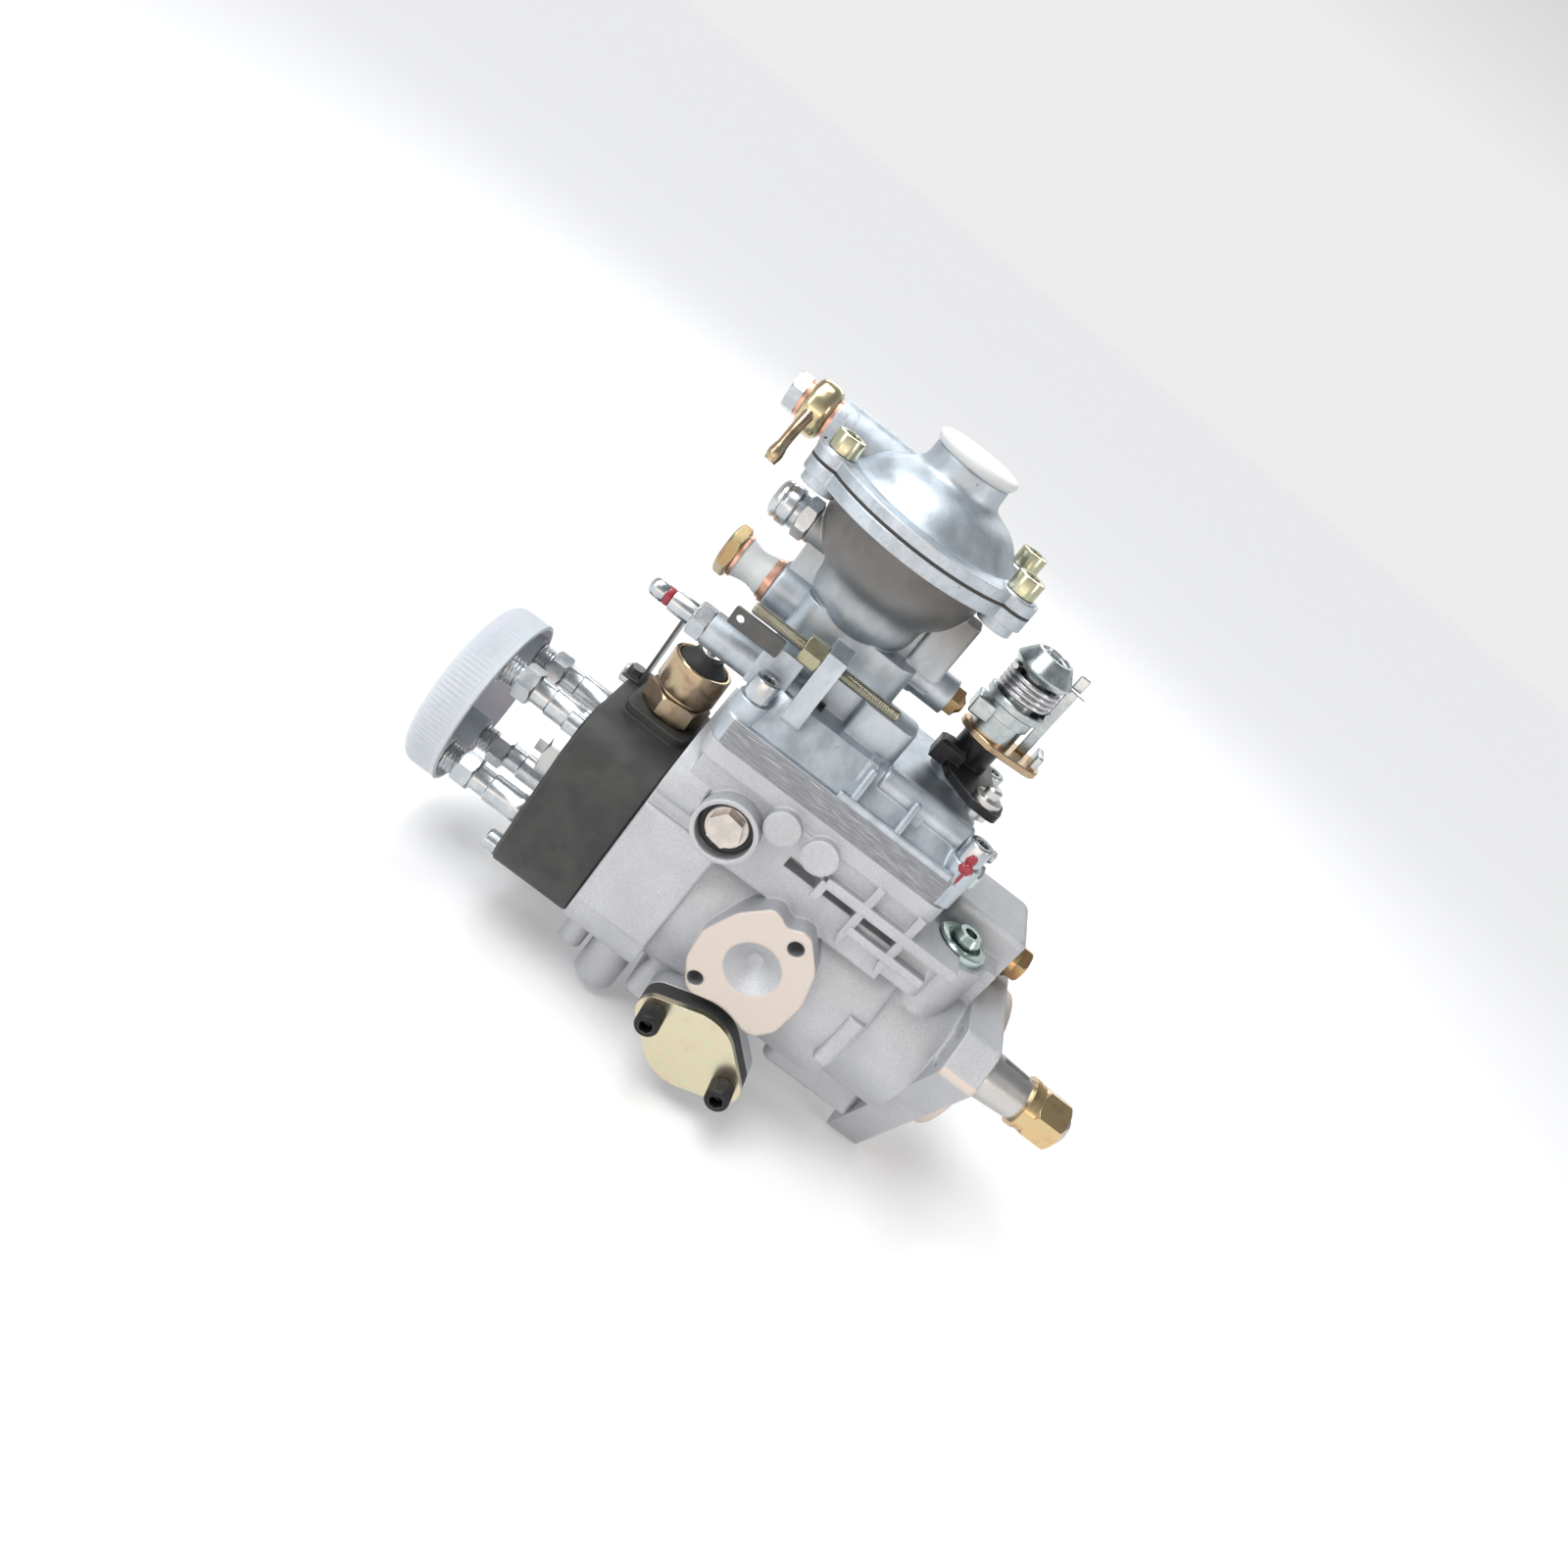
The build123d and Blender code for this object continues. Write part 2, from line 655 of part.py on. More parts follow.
def housing_bores():
    """Everything that is bored or milled out of the housing."""
    cuts = flange_slots(-flange_thick - 1, 1)
    # shaft bush, seal pocket and the stepped bore for the vane pump and cam gear
    cuts.append(cyl_x(taper_big_radius + running_gap, -60, pilot_height + 1))
    cuts.append(cyl_x(seal_radius, -seal_depth + pilot_height, pilot_height + 1))
    cuts.append(cyl_x(feed_ring_radius, feed_front_x - feed_ring_width - feed_plate_thick - 0.5, feed_front_x))
    cuts.append(cyl_x(cam_bore_radius, ring_front_x + 3, feed_plate_rear_x))
    cuts.append(cyl_x(ring_outer + running_gap, ring_front_x - ring_width - 2, ring_front_x + 4))
    cuts.append(cyl_x(cam_bore_radius, block_rear_x - 1, ring_front_x - ring_width - 1))
    cuts.append(block(chamber_rear_x, chamber_front_x, -chamber_half, chamber_half, ring_outer + 1, joint_z + 1))
    cuts.append(block(chamber_rear_x, ring_front_x - ring_width - 1, -30, 30, 0, ring_outer + 2))
    # governor shaft pin and lever pivot
    cuts.append(cyl_x(governor_pin_radius, -61, -48, 0, governor_axis_z))
    cuts.append(cyl_y(lever_pin_radius + running_gap, -chamber_half - 4, chamber_half + 4, collar_x, lever_pivot_z))
    # timing bore, open to the cam chamber for the ring pin
    cuts.append(cyl_y(timing_bore_radius, -timing_flange_y - 1, timing_flange_y + 1, timing_x, timing_z))
    cuts.append(block(timing_x - 7, timing_x + 7, -13, 13, timing_z, -20))
    for x, z in timing_screw_places():
        for sign in (-1, 1):
            cuts.append(cyl_y(timing_screw_radius, sign * (timing_flange_y - 8), sign * (timing_flange_y + 1), x, z))
    # accessory pad recess and its two tapped holes
    recess = Pos(pad_x, pad_face_y, pad_z + 1) * Rot(-90, 0, 0) * Cone(
        pad_recess_radius, pad_recess_radius * 0.25, pad_recess_depth, align=(Align.CENTER, Align.CENTER, Align.MIN))
    cuts.append(recess)
    for x, z in pad_holes():
        cuts.append(cyl_y(pad_hole_radius, pad_face_y - 1, pad_face_y + pad_hole_depth, x, z))
    # side plug seat
    cuts.append(cyl_y(side_seat_radius, side_boss_y - 1, side_seat_y, side_plug_x, side_plug_z))
    cuts.append(cyl_y(side_plug_radius, side_seat_y, -chamber_half + 1, side_plug_x, side_plug_z))
    # pockets under the upper rib, one before each upright rib
    stops = (near_pocket_rear_x,) + upright_rib_xs
    half = upright_rib_thick / 2
    for rear, front in zip(stops, stops[1:]):
        cuts.append(block(rear + half, front - half, near_rib_y - 3, -upper_wall_half + near_pocket_depth,
                          near_pocket_foot_z, upper_rib_z - upper_rib_thick / 2))
    # pressure valve bore and inlet port
    cuts.append(cyl_z(pressure_bore_radius, pressure_foot_z, pressure_seat_z + 1, pressure_x, pressure_y))
    cuts.append(cyl_z(2.0, 26, pressure_foot_z + 1, pressure_x, pressure_y))
    cuts.append(cyl_z(pressure_ring_radius + 0.8, pressure_seat_z, pressure_seat_z + 10, pressure_x, pressure_y))
    cuts.append(cyl_x(inlet_radius, inlet_face_x - 20, inlet_face_x + 1, inlet_y, inlet_z))
    cuts.append(cyl_z(2.5, 30, inlet_z, inlet_face_x - 16, inlet_y))
    # cover screw holes and head bolt holes
    for x, y in cover_screw_places():
        cuts.append(cyl_z(cover_screw_radius, joint_z - 16, joint_z + 1, x, y))
    for y, z in head_bolt_places():
        cuts.append(cyl_x(head_bolt_radius, block_rear_x - 1, block_rear_x + 14, y, z))
    return cuts


def cover_screw_places():
    places = []
    for x in (cover_screw_rear_x, cover_screw_front_x):
        for sign in (-1, 1):
            places.append((x, sign * cover_screw_y))
    return places


def head_bolt_places():
    return turned_places(4, head_bolt_circle, 45)


# Distributor head and what is screwed into it
def outlet_places():
    return turned_places(outlet_count, outlet_circle, outlet_start)


def distributor_head():
    rear_x = block_rear_x - head_thick
    body = rounded_block_x(rear_x, block_rear_x, -head_half, head_half, -head_half, head_half, head_corner)
    body = chamfer(body.edges().group_by(Axis.X)[0], 1.2)
    body = chamfer(body.edges().group_by(Axis.X)[-1], 1.2)
    # solenoid boss on top
    body += rounded_block_z(solenoid_x - 15, solenoid_x + 13, -17, 17, 30, solenoid_seat_z, 5)
    body += cyl_x(head_spigot_radius, block_rear_x, block_rear_x + head_spigot_length)
    tools = [cyl_x(barrel_sleeve_radius, rear_x + 6, block_rear_x + head_spigot_length + 1)]
    for y, z in outlet_places():
        tools.append(cyl_x(holder_radius, rear_x - 1, rear_x + 12, y, z))
        tools.append(cyl_x(holder_bore, rear_x + 11, rear_x + 18, y, z))
    for y, z in head_bolt_places():
        tools.append(cyl_x(head_bolt_radius, rear_x - 1, block_rear_x + 1, y, z))
    tools.append(cyl_x(center_plug_radius, rear_x - 1, rear_x + 7))
    groove_x = block_rear_x + head_spigot_length / 2
    tools.append(cyl_x(cam_bore_radius + 1, groove_x - head_seal_wire - 0.2, groove_x + head_seal_wire + 0.2)
                 - cyl_x(cam_bore_radius - 2 * head_seal_wire, groove_x - 3, groove_x + 3))
    tools.append(cyl_z(solenoid_thread_radius, solenoid_seat_z - 14, solenoid_seat_z + 1, solenoid_x))
    tools.append(cyl_z(holder_bore, barrel_sleeve_radius + 1, solenoid_seat_z - 13, solenoid_x))
    for sign in (-1, 1):
        tools.append(cyl_x(spring_pin_radius, block_rear_x - 4, block_rear_x + head_spigot_length + 1, sign * spring_y))
    return body - tools


def plunger_barrel():
    front_x = block_rear_x + head_spigot_length + 6
    rear_x = block_rear_x - head_thick + 7
    sleeve = cyl_x(barrel_sleeve_radius, rear_x, front_x)
    tools = [cyl_x(plunger_radius + running_gap, rear_x - 1, front_x + 1)]
    for y, z in turned_places(outlet_count, barrel_sleeve_radius, outlet_start):
        tools.append(Pos(solenoid_x + 4, 0, 0) * Rot(math.degrees(math.atan2(z, y)), 0, 0)
                     * Rot(90, 0, 0) * Pos(0, 0, -barrel_sleeve_radius / 2) * Cylinder(1.2, barrel_sleeve_radius))
    return sleeve - tools


def head_screws():
    rear_x = block_rear_x - head_thick
    screws = []
    for y, z in head_bolt_places():
        head = cyl_x(head_bolt_head_radius, rear_x - head_bolt_head_height, rear_x, y, z)
        head = chamfer(head.edges().group_by(Axis.X)[0], 0.6)
        head += cyl_x(head_bolt_radius - running_gap, rear_x, block_rear_x + 12, y, z)
        screws.append(head - hex_x(5, rear_x - head_bolt_head_height - 1, rear_x - 3, y, z))
    return screws


def head_center_plug():
    rear_x = block_rear_x - head_thick
    plug = hex_x(center_plug_hex, rear_x - center_plug_height, rear_x)
    plug &= cone_x(center_plug_hex * 0.5, rear_x - center_plug_height, center_plug_hex, rear_x)
    plug += cyl_x(center_plug_radius, rear_x, rear_x + 6.5)
    plug += hex_x(10, rear_x - center_plug_height - 5, rear_x - center_plug_height)
    return plug - cyl_x(plunger_radius + 1, rear_x + 2, rear_x + 7)


def valve_holders():
    """Outlet fittings: threaded foot, two-step neck, hexagon and pipe thread, with a valve chamber inside."""
    rear_x = block_rear_x - head_thick
    step_x = rear_x - 17.0
    holders = []
    for y, z in outlet_places():
        profile = [
            (rear_x + 11, 0), (rear_x + 11, holder_radius), (step_x, holder_radius),
            (step_x, holder_neck_radius), (holder_hex_x, holder_neck_radius),
            (holder_hex_x - holder_hex_thick, holder_thread_radius - 0.8),
            (holder_hex_x - holder_hex_thick - 1, holder_thread_radius),
            (holder_end_x + 1, holder_thread_radius), (holder_end_x, holder_thread_radius - 0.8), (holder_end_x, 0),
        ]
        holder = turned_x(profile, y, z)
        nut = hex_x(holder_hex, holder_hex_x - holder_hex_thick, holder_hex_x, y, z, turn=outlet_start)
        nut &= turned_x([
            (holder_hex_x, 0), (holder_hex_x, holder_hex * 0.53), (holder_hex_x - 1, holder_hex * 0.58),
            (holder_hex_x - holder_hex_thick + 1, holder_hex * 0.58),
            (holder_hex_x - holder_hex_thick, holder_hex * 0.53), (holder_hex_x - holder_hex_thick, 0)], y, z)
        holder += nut
        holder -= cyl_x(valve_chamber_radius, rear_x - 12, rear_x + 12, y, z)
        holder -= cyl_x(holder_bore, holder_end_x - 1, rear_x - 11, y, z)
        holder -= cone_x(holder_bore * 2, holder_end_x - 0.1, holder_bore * 0.8, holder_end_x + 4, y, z)
        holders.append(holder)
    return holders


def delivery_valves():
    rear_x = block_rear_x - head_thick
    valves = []
    for y, z in outlet_places():
        seat = cyl_x(valve_chamber_radius - running_gap, rear_x + 5, rear_x + 11.5, y, z)
        valve = turned_x([
            (rear_x + 4.9, 0), (rear_x + 4.9, 2.2), (rear_x + 3, 3.2), (rear_x + 1, 3.2),
            (rear_x + 1, 1.8), (rear_x - 2, 1.8), (rear_x - 2, 0)], y, z)
        valves.append(seat + valve)
    return valves


def coil_z(radius, wire, z0, z1, turns, x=0.0, y=0.0):
    height = z1 - z0 - 2 * wire
    path = Helix(pitch=height / turns, height=height, radius=radius - wire)
    section = Plane(origin=path @ 0, z_dir=path % 0) * Circle(wire)
    return Pos(x, y, z0 + wire) * sweep(section, path)


# White cap that shuts the four outlets for shipping
def shipping_cap():
    shell = cyl_x(cap_radius, cap_rear_x, cap_front_x)
    shell = fillet(shell.edges().sort_by(Axis.X)[0], 9)
    inner = cyl_x(cap_radius - cap_wall, cap_rear_x + cap_wall, cap_front_x + 1)
    inner = fillet(inner.edges().sort_by(Axis.X)[0], 8)
    shell -= inner
    for y, z in outlet_places():
        cup = cyl_x(holder_thread_radius + 1.5, cap_rear_x + cap_wall / 2, cap_front_x - 0.5, y, z)
        shell += cup & cyl_x(cap_radius - cap_wall / 2, cap_rear_x, cap_front_x)
    for y, z in outlet_places():
        shell -= cyl_x(holder_thread_radius + free_gap, holder_end_x - free_gap, cap_front_x + 1, y, z)
    return shell


# Stop solenoid: steel body with a hexagon, rubber cap, sliding armature
def solenoid_body():
    z0 = solenoid_seat_z
    z1 = z0 + solenoid_hex_height
    z2 = z1 + solenoid_body_height
    body = hex_z(solenoid_hex, z0, z1, solenoid_x, 0, turn=12)
    body &= turned_z([
        (0, z0), (solenoid_hex * 0.52, z0), (solenoid_hex * 0.58, z0 + 1.2),
        (solenoid_hex * 0.58, z1 - 1.2), (solenoid_hex * 0.52, z1), (0, z1)], solenoid_x)
    body += cyl_z(solenoid_body_radius, z1, z2, solenoid_x)
    body += cyl_z(solenoid_thread_radius - running_gap, z0 - 12, z0, solenoid_x)
    body -= cyl_z(solenoid_cap_radius, z2 - 3, z2 + 1, solenoid_x)
    body -= cyl_z(armature_radius + running_gap, z0 - 13, z2 - 8, solenoid_x)
    return body


def solenoid_cap():
    z2 = solenoid_seat_z + solenoid_hex_height + solenoid_body_height
    cap = cyl_z(solenoid_cap_radius, z2 - 3, z2 + solenoid_cap_height, solenoid_x)
    cap = fillet(cap.edges().group_by(Axis.Z)[-1], 2)
    cap += cyl_z(3.0, z2 + solenoid_cap_height, z2 + solenoid_cap_height + 3, solenoid_x, 0)
    return cap


def solenoid_armature():
    z0 = solenoid_seat_z
    top_z = z0 + solenoid_hex_height + 3
    armature = cyl_z(armature_radius, z0 - 10, top_z, solenoid_x)
    armature = chamfer(armature.edges().group_by(Axis.Z)[0], 2)
    return armature


def side_plug():
    collar_y = side_seat_y - 1.2
    plug = hex_y(side_plug_hex, side_plug_top_y, collar_y, side_plug_x, side_plug_z, turn=8)
    plug += cyl_y(side_plug_collar, collar_y, side_seat_y, side_plug_x, side_plug_z)
    plug += cyl_y(side_plug_radius - running_gap, side_seat_y, -chamber_half - 2, side_plug_x, side_plug_z)
    return plug


# Governor cover with the boost bowl cast on it
def boost_outline(z0, z1):
    body = cyl_z(boost_flange_radius, z0, z1, boost_x)
    ears = []
    for x, y in boost_screw_places():
        ears.append(cyl_z(boost_ear_radius, z0, z1, x, y))
    body += ears
    reach_x = boost_screw_x + boost_ear_radius
    return body & block(boost_x - reach_x, boost_x + reach_x, -60, 60, z0 - 1, z1 + 1)


def boost_screw_places():
    places = []
    for sx in (-1, 1):
        for sy in (-1, 1):
            places.append((boost_x + sx * boost_screw_x, sy * boost_screw_y))
    return places


def governor_cover():
    flange_top = joint_z + cover_flange_height
    body = rounded_block_z(cover_rear_x, cover_front_x, -cover_half, cover_half, joint_z, flange_top, 7)
    roof = Pos((cover_rear_x + cover_front_x) / 2, 0, flange_top - 0.5) * loft(
        [RectangleRounded(cover_front_x - cover_rear_x - 6, cover_half * 2 - 6, 8),
         Pos(0, 0, cover_roof_z - flange_top + 0.5) * RectangleRounded(cover_front_x - cover_rear_x - 16, cover_roof_half * 2 - 12, 10)])
    body += roof
    adds = []
    # long rounded boss along the near edge of the roof
    boss = cyl_x(6.2, cover_front_x - 48, cover_front_x - 8, -29, 90.5)
    adds.append(fillet(boss.edges(), 1.5))
    for x in (-108, -83.5):
        adds.append(plate_x([(-40, 80), (-38, 82), (-33, 95), (-26, 95), (-26, 80)], x - 1.7, x + 1.7))
    for x, y in cover_screw_places():
        adds.append(cyl_z(6.6, joint_z, cover_screw_seat_z, x, y))
    # pedestal and bowl under the boost capsule
    pedestal = rounded_block_z(boost_x - 20, boost_x + 30, -17, 17, 88, 124, 8)
    adds.append(pedestal)
    adds.append(boost_bowl())
    adds.append(boost_outline(boost_split_z - boost_lower_thick, boost_split_z))
    for x, y in boost_screw_places():
        adds.append(cyl_z(boost_ear_radius - 1.5, boost_split_z - boost_lower_ear, boost_split_z - 1, x, y))
    # rib from the bowl down to the roof on the rear side
    adds.append(plate_y([(boost_x - 34, 158), (boost_x - 31, 138), (boost_x - 31, 124), (boost_x - 20, 118),
                         (boost_x - 20, 160)], -5, 5))
    # block and cross boss on the front side of the pedestal
    adds.append(rounded_block_z(boost_x + 24, boost_x + 39, -7, 7, 118, 150, 2))
    adds.append(cyl_x(cross_boss_radius, boost_x + 24, cross_boss_end_x, 0, cross_boss_z))
    adds.append(rounded_block_z(boost_x + 20, boost_x + 44, -24, -6, 90, 108, 4))
    # return outlet boss, full-load screw barrel, speed screw lug, side plug boss and control shaft boss
    adds.append(cyl_x(return_boss_radius, return_boss_end_x, boost_x, 0, return_z))
    adds.append(cyl_x(full_load_barrel_radius, full_load_barrel_end_x, boost_x, full_load_y, full_load_z))
    lug = block(speed_lug_x - speed_lug_thick / 2, speed_lug_x + speed_lug_thick / 2, speed_y - 6, -10, 88, speed_z + 5.5)
    adds.append(lug)
    adds.append(block(lead_block_rear_x, lead_block_front_x, lead_block_y, -10, 88, lead_block_top_z))
    adds.append(cyl_x(7.5, boost_plug_x, boost_x, 0, boost_plug_z))
    adds.append(cyl_z(control_boss_radius, 84, control_boss_z, control_x, control_y))
    body += adds
    return body - cover_bores()


def boost_bowl():
    """Bowl turned from its wall curve: wide under the flange, stepped in, and rounded at the bottom."""
    z1 = boost_split_z - boost_lower_thick + 0.5
    wall = Spline(
        (boost_bowl_top_radius, z1), (boost_bowl_top_radius - 1.0, z1 - 12), (boost_bowl_radius + 5, z1 - 22),
        (boost_bowl_radius, z1 - 31), tangents=((0, -1), (0, -1)))
    bottom = boost_bowl_bottom_z
    round_in = TangentArc(wall @ 1, (boost_bowl_radius - 9, bottom), tangent=(0, -1))
    rest = Polyline(round_in @ 1, (0, bottom), (0, z1), wall @ 0)
    profile = make_face(wall + round_in + rest)
    return Pos(boost_x, 0, 0) * revolve(Plane.XZ * profile, Axis.Z)


def cover_bores():
    roof_in = cover_roof_z - cover_wall
    cuts = [rounded_block_z(cover_rear_x + 13, cover_front_x - 8, -chamber_half, chamber_half, joint_z - 1, 79, 5)]
    cuts.append(rounded_block_z(cover_rear_x + 13, cover_front_x - 12, -24, 24, 78, roof_in, 5))
    # spring pocket and the pin passage of the boost capsule
    cuts.append(cyl_z(boost_pocket_radius, boost_split_z - 14, boost_split_z + 1, boost_x))
    cuts.append(cyl_z(boost_bowl_radius - 4, 128, boost_split_z, boost_x))
    cuts.append(cyl_z(boost_pin_radius + running_gap, roof_in - 1, 129, boost_x))
    cuts.append(cyl_x(return_thread_radius, return_boss_end_x - 1, return_boss_end_x + 14, 0, return_z))
    cuts.append(cyl_x(return_passage_radius, return_boss_end_x + 13, boost_x - 12, 0, return_z))
    cuts.append(cyl_z(return_passage_radius, roof_in - 1, return_z, boost_x - 14))
    cuts.append(cyl_x(full_load_radius, full_load_barrel_end_x - 1, boost_x + 11, full_load_y, full_load_z))
    cuts.append(cyl_x(speed_radius, speed_lug_x - 12, speed_lug_x + 12, speed_y, speed_z))
    cuts.append(cyl_x(boost_plug_radius, boost_plug_x - 1, boost_x - 12, 0, boost_plug_z))
    cuts.append(cyl_z(control_radius + running_gap, roof_in - 3, control_boss_z + 1, control_x, control_y))
    for x, y in cover_screw_places():
        cuts.append(cyl_z(cover_screw_radius, joint_z - 1, cover_screw_seat_z + 1, x, y))
        cuts.append(cyl_z(cover_screw_head_radius + 0.6, cover_screw_seat_z, cover_roof_z + 6, x, y))
    for x, y in boost_screw_places():
        cuts.append(cyl_z(boost_screw_radius, boost_split_z - boost_screw_depth - free_gap, boost_split_z + 1, x, y))
    return cuts


def cover_screws():
    screws = []
    for x, y in cover_screw_places():
        screws.append(socket_screw_z(x, y, cover_screw_seat_z, cover_screw_head_radius, cover_screw_head_height,
                                     cover_screw_radius, cover_screw_seat_z - joint_z + 14, 5))
    return screws


# Boost capsule top: domed cap with the side arm for the air pipe
def boost_cover():
    z0 = boost_split_z + diaphragm_thick
    flange_top = z0 + boost_upper_thick
    body = boost_outline(z0, flange_top)
    dome = turned_z([
        (0, flange_top - 0.5), (boost_shoulder_radius + 9, flange_top - 0.5), (boost_shoulder_radius + 4.5, flange_top + 2.5),
        (boost_shoulder_radius, boost_shoulder_z - 1.5), (boost_shoulder_radius - 2.5, boost_shoulder_z),
        (boost_neck_radius + 5, boost_shoulder_z), (boost_neck_radius + 3.4, boost_shoulder_z + 2.2),
        (boost_neck_radius, boost_shoulder_z + 3.2), (boost_neck_radius, boost_neck_top_z), (0, boost_neck_top_z)], boost_x)
    body += dome
    # side arm, flat where it meets the flange
    arm = cyl_x(arm_radius, arm_end_x, boost_x - 14, 0, arm_z)
    reach_x = boost_screw_x + boost_ear_radius + free_gap
    body += arm - block(boost_x - reach_x, boost_x, -arm_radius - 1, arm_radius + 1, arm_z - arm_radius - 1, flange_top - 1)
    for x, y in boost_screw_places():
        body += cyl_z(boost_ear_radius - 1.5, flange_top - 1, flange_top + 0.6, x, y)
    body -= [
        turned_z([
            (0, z0 - 1), (boost_pocket_radius, z0 - 1), (boost_pocket_radius, z0 + 1.5),
            (boost_shoulder_radius - 4, boost_shoulder_z - 4), (boost_neck_radius - 4, boost_shoulder_z - 3),
            (boost_neck_radius - 4, boost_neck_top_z - 4), (0, boost_neck_top_z - 4)], boost_x),
        cyl_x(banjo_thread_radius, arm_end_x - 1, arm_end_x + 12, 0, arm_z),
        cyl_x(2.0, arm_end_x + 11, boost_x - 20, 0, arm_z),
    ]
    cuts = []
    for x, y in boost_screw_places():
        cuts.append(cyl_z(boost_screw_radius + 0.3, z0 - 1, flange_top + 2, x, y))
    return body - cuts


def boost_screws():
    screws = []
    for x, y in boost_screw_places():
        head = hex_z(9.0, boost_screw_seat_z, boost_screw_seat_z + 7.0, x, y, turn=20)
        head &= turned_z([
            (0, boost_screw_seat_z), (5.4, boost_screw_seat_z), (5.4, boost_screw_seat_z + 6.2),
            (4.6, boost_screw_seat_z + 7.0), (0, boost_screw_seat_z + 7.0)], x, y)
        head += cyl_z(boost_screw_radius, boost_split_z - boost_screw_depth, boost_screw_seat_z, x, y)
        screws.append(head - cyl_z(2.4, boost_screw_seat_z + 3.5, boost_screw_seat_z + 8, x, y))
    return screws


def diaphragm():
    sheet = boost_outline(boost_split_z, boost_split_z + diaphragm_thick)
    sheet -= [cyl_z(boost_pocket_radius - 1.0, boost_split_z - 1, boost_split_z + 3, boost_x)]
    roll = turned_z([
        (boost_pocket_radius - 0.9, boost_split_z), (boost_pocket_radius - 1.4, boost_split_z - 5),
        (boost_pocket_radius - 4.6, boost_split_z - 5), (boost_pocket_radius - 5.2, boost_split_z),
        (boost_pocket_radius - 6.6, boost_split_z + 0.5), (boost_pocket_radius - 6.6, boost_split_z + diaphragm_thick),
        (boost_pocket_radius - 4.2, boost_split_z + diaphragm_thick), (boost_pocket_radius - 3.6, boost_split_z - 4),
        (boost_pocket_radius - 2.4, boost_split_z - 4), (boost_pocket_radius - 1.9, boost_split_z + diaphragm_thick),
        (boost_pocket_radius - 0.9, boost_split_z + diaphragm_thick)], boost_x)
    sheet += roll
    for x, y in boost_screw_places():
        sheet -= cyl_z(boost_screw_radius + 0.3, boost_split_z - 1, boost_split_z + 3, x, y)
    return sheet


def boost_pin():
    """Guide pin with its control cone and the plate that the rubber presses on."""
    z = boost_split_z + diaphragm_thick
    plate_r = boost_pocket_radius - 7.0
    pin = turned_z([
        (0, 100), (2.6, 100), (2.6, 108), (boost_pin_radius, 116), (boost_pin_radius, z - 3.2), (plate_r - 3, z - 3.2),
        (plate_r, z - 1.6), (plate_r, z - 0.4), (7.0, z - 0.4), (7.0, z + 3.0), (boost_pin_radius, z + 3.0),
        (boost_pin_radius, z + 6.0), (0, z + 6.0)], boost_x)
    return pin


def dust_cap():
    z0 = boost_neck_top_z + free_gap
    cap = cyl_z(dust_cap_radius, boost_neck_top_z - 1.5, z0 + dust_cap_height - 1, boost_x)
    cap = fillet(cap.edges().group_by(Axis.Z)[-1], 4.5)
    cap -= cyl_z(boost_neck_radius + free_gap, boost_neck_top_z - 2, z0, boost_x)
    return fillet(cap.edges().group_by(Axis.Z)[0], 0.3)


# Air pipe union on the boost arm
def boost_banjo():
    x1 = arm_end_x - banjo_washer
    x0 = x1 - 10.5
    eye = cyl_x(10.4, x0, x1, 0, arm_z)
    eye = fillet(eye.edges(), 3.4)
    stem = turned_z([(0, -19), (2.0, -19), (2.6, -17.5), (2.2, -15.5), (2.2, -8), (0, -8)])
    stem += cyl_z(2.2, -17, 0)
    eye += Pos((x0 + x1) / 2 - 0.5, 0, arm_z) * Rot(28, 6, 0) * Pos(0, 0, -9) * stem
    eye -= cyl_x(banjo_thread_radius + 0.6, x0 - 1, x1 + 1, 0, arm_z)
    return eye - Pos((x0 + x1) / 2 - 0.5, 0, arm_z) * Rot(28, 6, 0) * Pos(0, 0, -20) * Cylinder(1.3, 40)


def boost_banjo_bolt():
    x1 = arm_end_x - banjo_washer - 10.5 - banjo_washer
    bolt = hex_x(14, x1 - 5.0, x1, 0, arm_z, turn=12)
    bolt &= cone_x(14 * 0.5 + 0.3, x1 - 5.0, 14 * 0.5 + 5, x1 + 0.5, 0, arm_z)
    bolt += cyl_x(banjo_thread_radius - running_gap, x1, arm_end_x + 11, 0, arm_z)
    return bolt - cyl_x(1.8, x1 + 5, arm_end_x + 12, 0, arm_z)


def boost_plug():
    x = boost_plug_x
    plug = hex_x(14, x - 6.5, x - 0.2, 0, boost_plug_z, turn=10)
    plug += turned_x([
        (x - 18.0, 0), (x - 18.0, 5.0), (x - 17.0, 7.0), (x - 15.0, 8.0), (x - 9.0, 8.2), (x - 8.0, 7.0),
        (x - 6.5, 7.0), (x - 6.5, 0)], 0, boost_plug_z)
    return plug + cyl_x(boost_plug_radius, x - 0.2, x + 10, 0, boost_plug_z)


# Return outlet: hollow bolt, white spacer and copper washers
def return_bolt():
    x1 = return_boss_end_x - 3 * 1.5 - 12.0
    bolt = hex_x(return_bolt_hex, x1 - 6.0, x1, 0, return_z, turn=5)
    bolt &= cone_x(return_bolt_hex * 0.5 + 0.2, x1 - 6.0, return_bolt_hex * 0.5 + 6, x1 + 0.5, 0, return_z)
    bolt += cyl_x(return_thread_radius, x1, return_boss_end_x + 12, 0, return_z)
    return bolt - cyl_x(2.4, x1 + 6, return_boss_end_x + 13, 0, return_z)


def return_spacer():
    x1 = return_boss_end_x - 2 * 1.5
    x0 = x1 - 12.0
    spacer = turned_x([
        (x0, return_thread_radius + free_gap), (x0, 8.2), (x0 + 2.5, 7.4), (x1 - 2.5, 7.4), (x1, 8.2),
        (x1, return_thread_radius + free_gap)], 0, return_z)
    return spacer


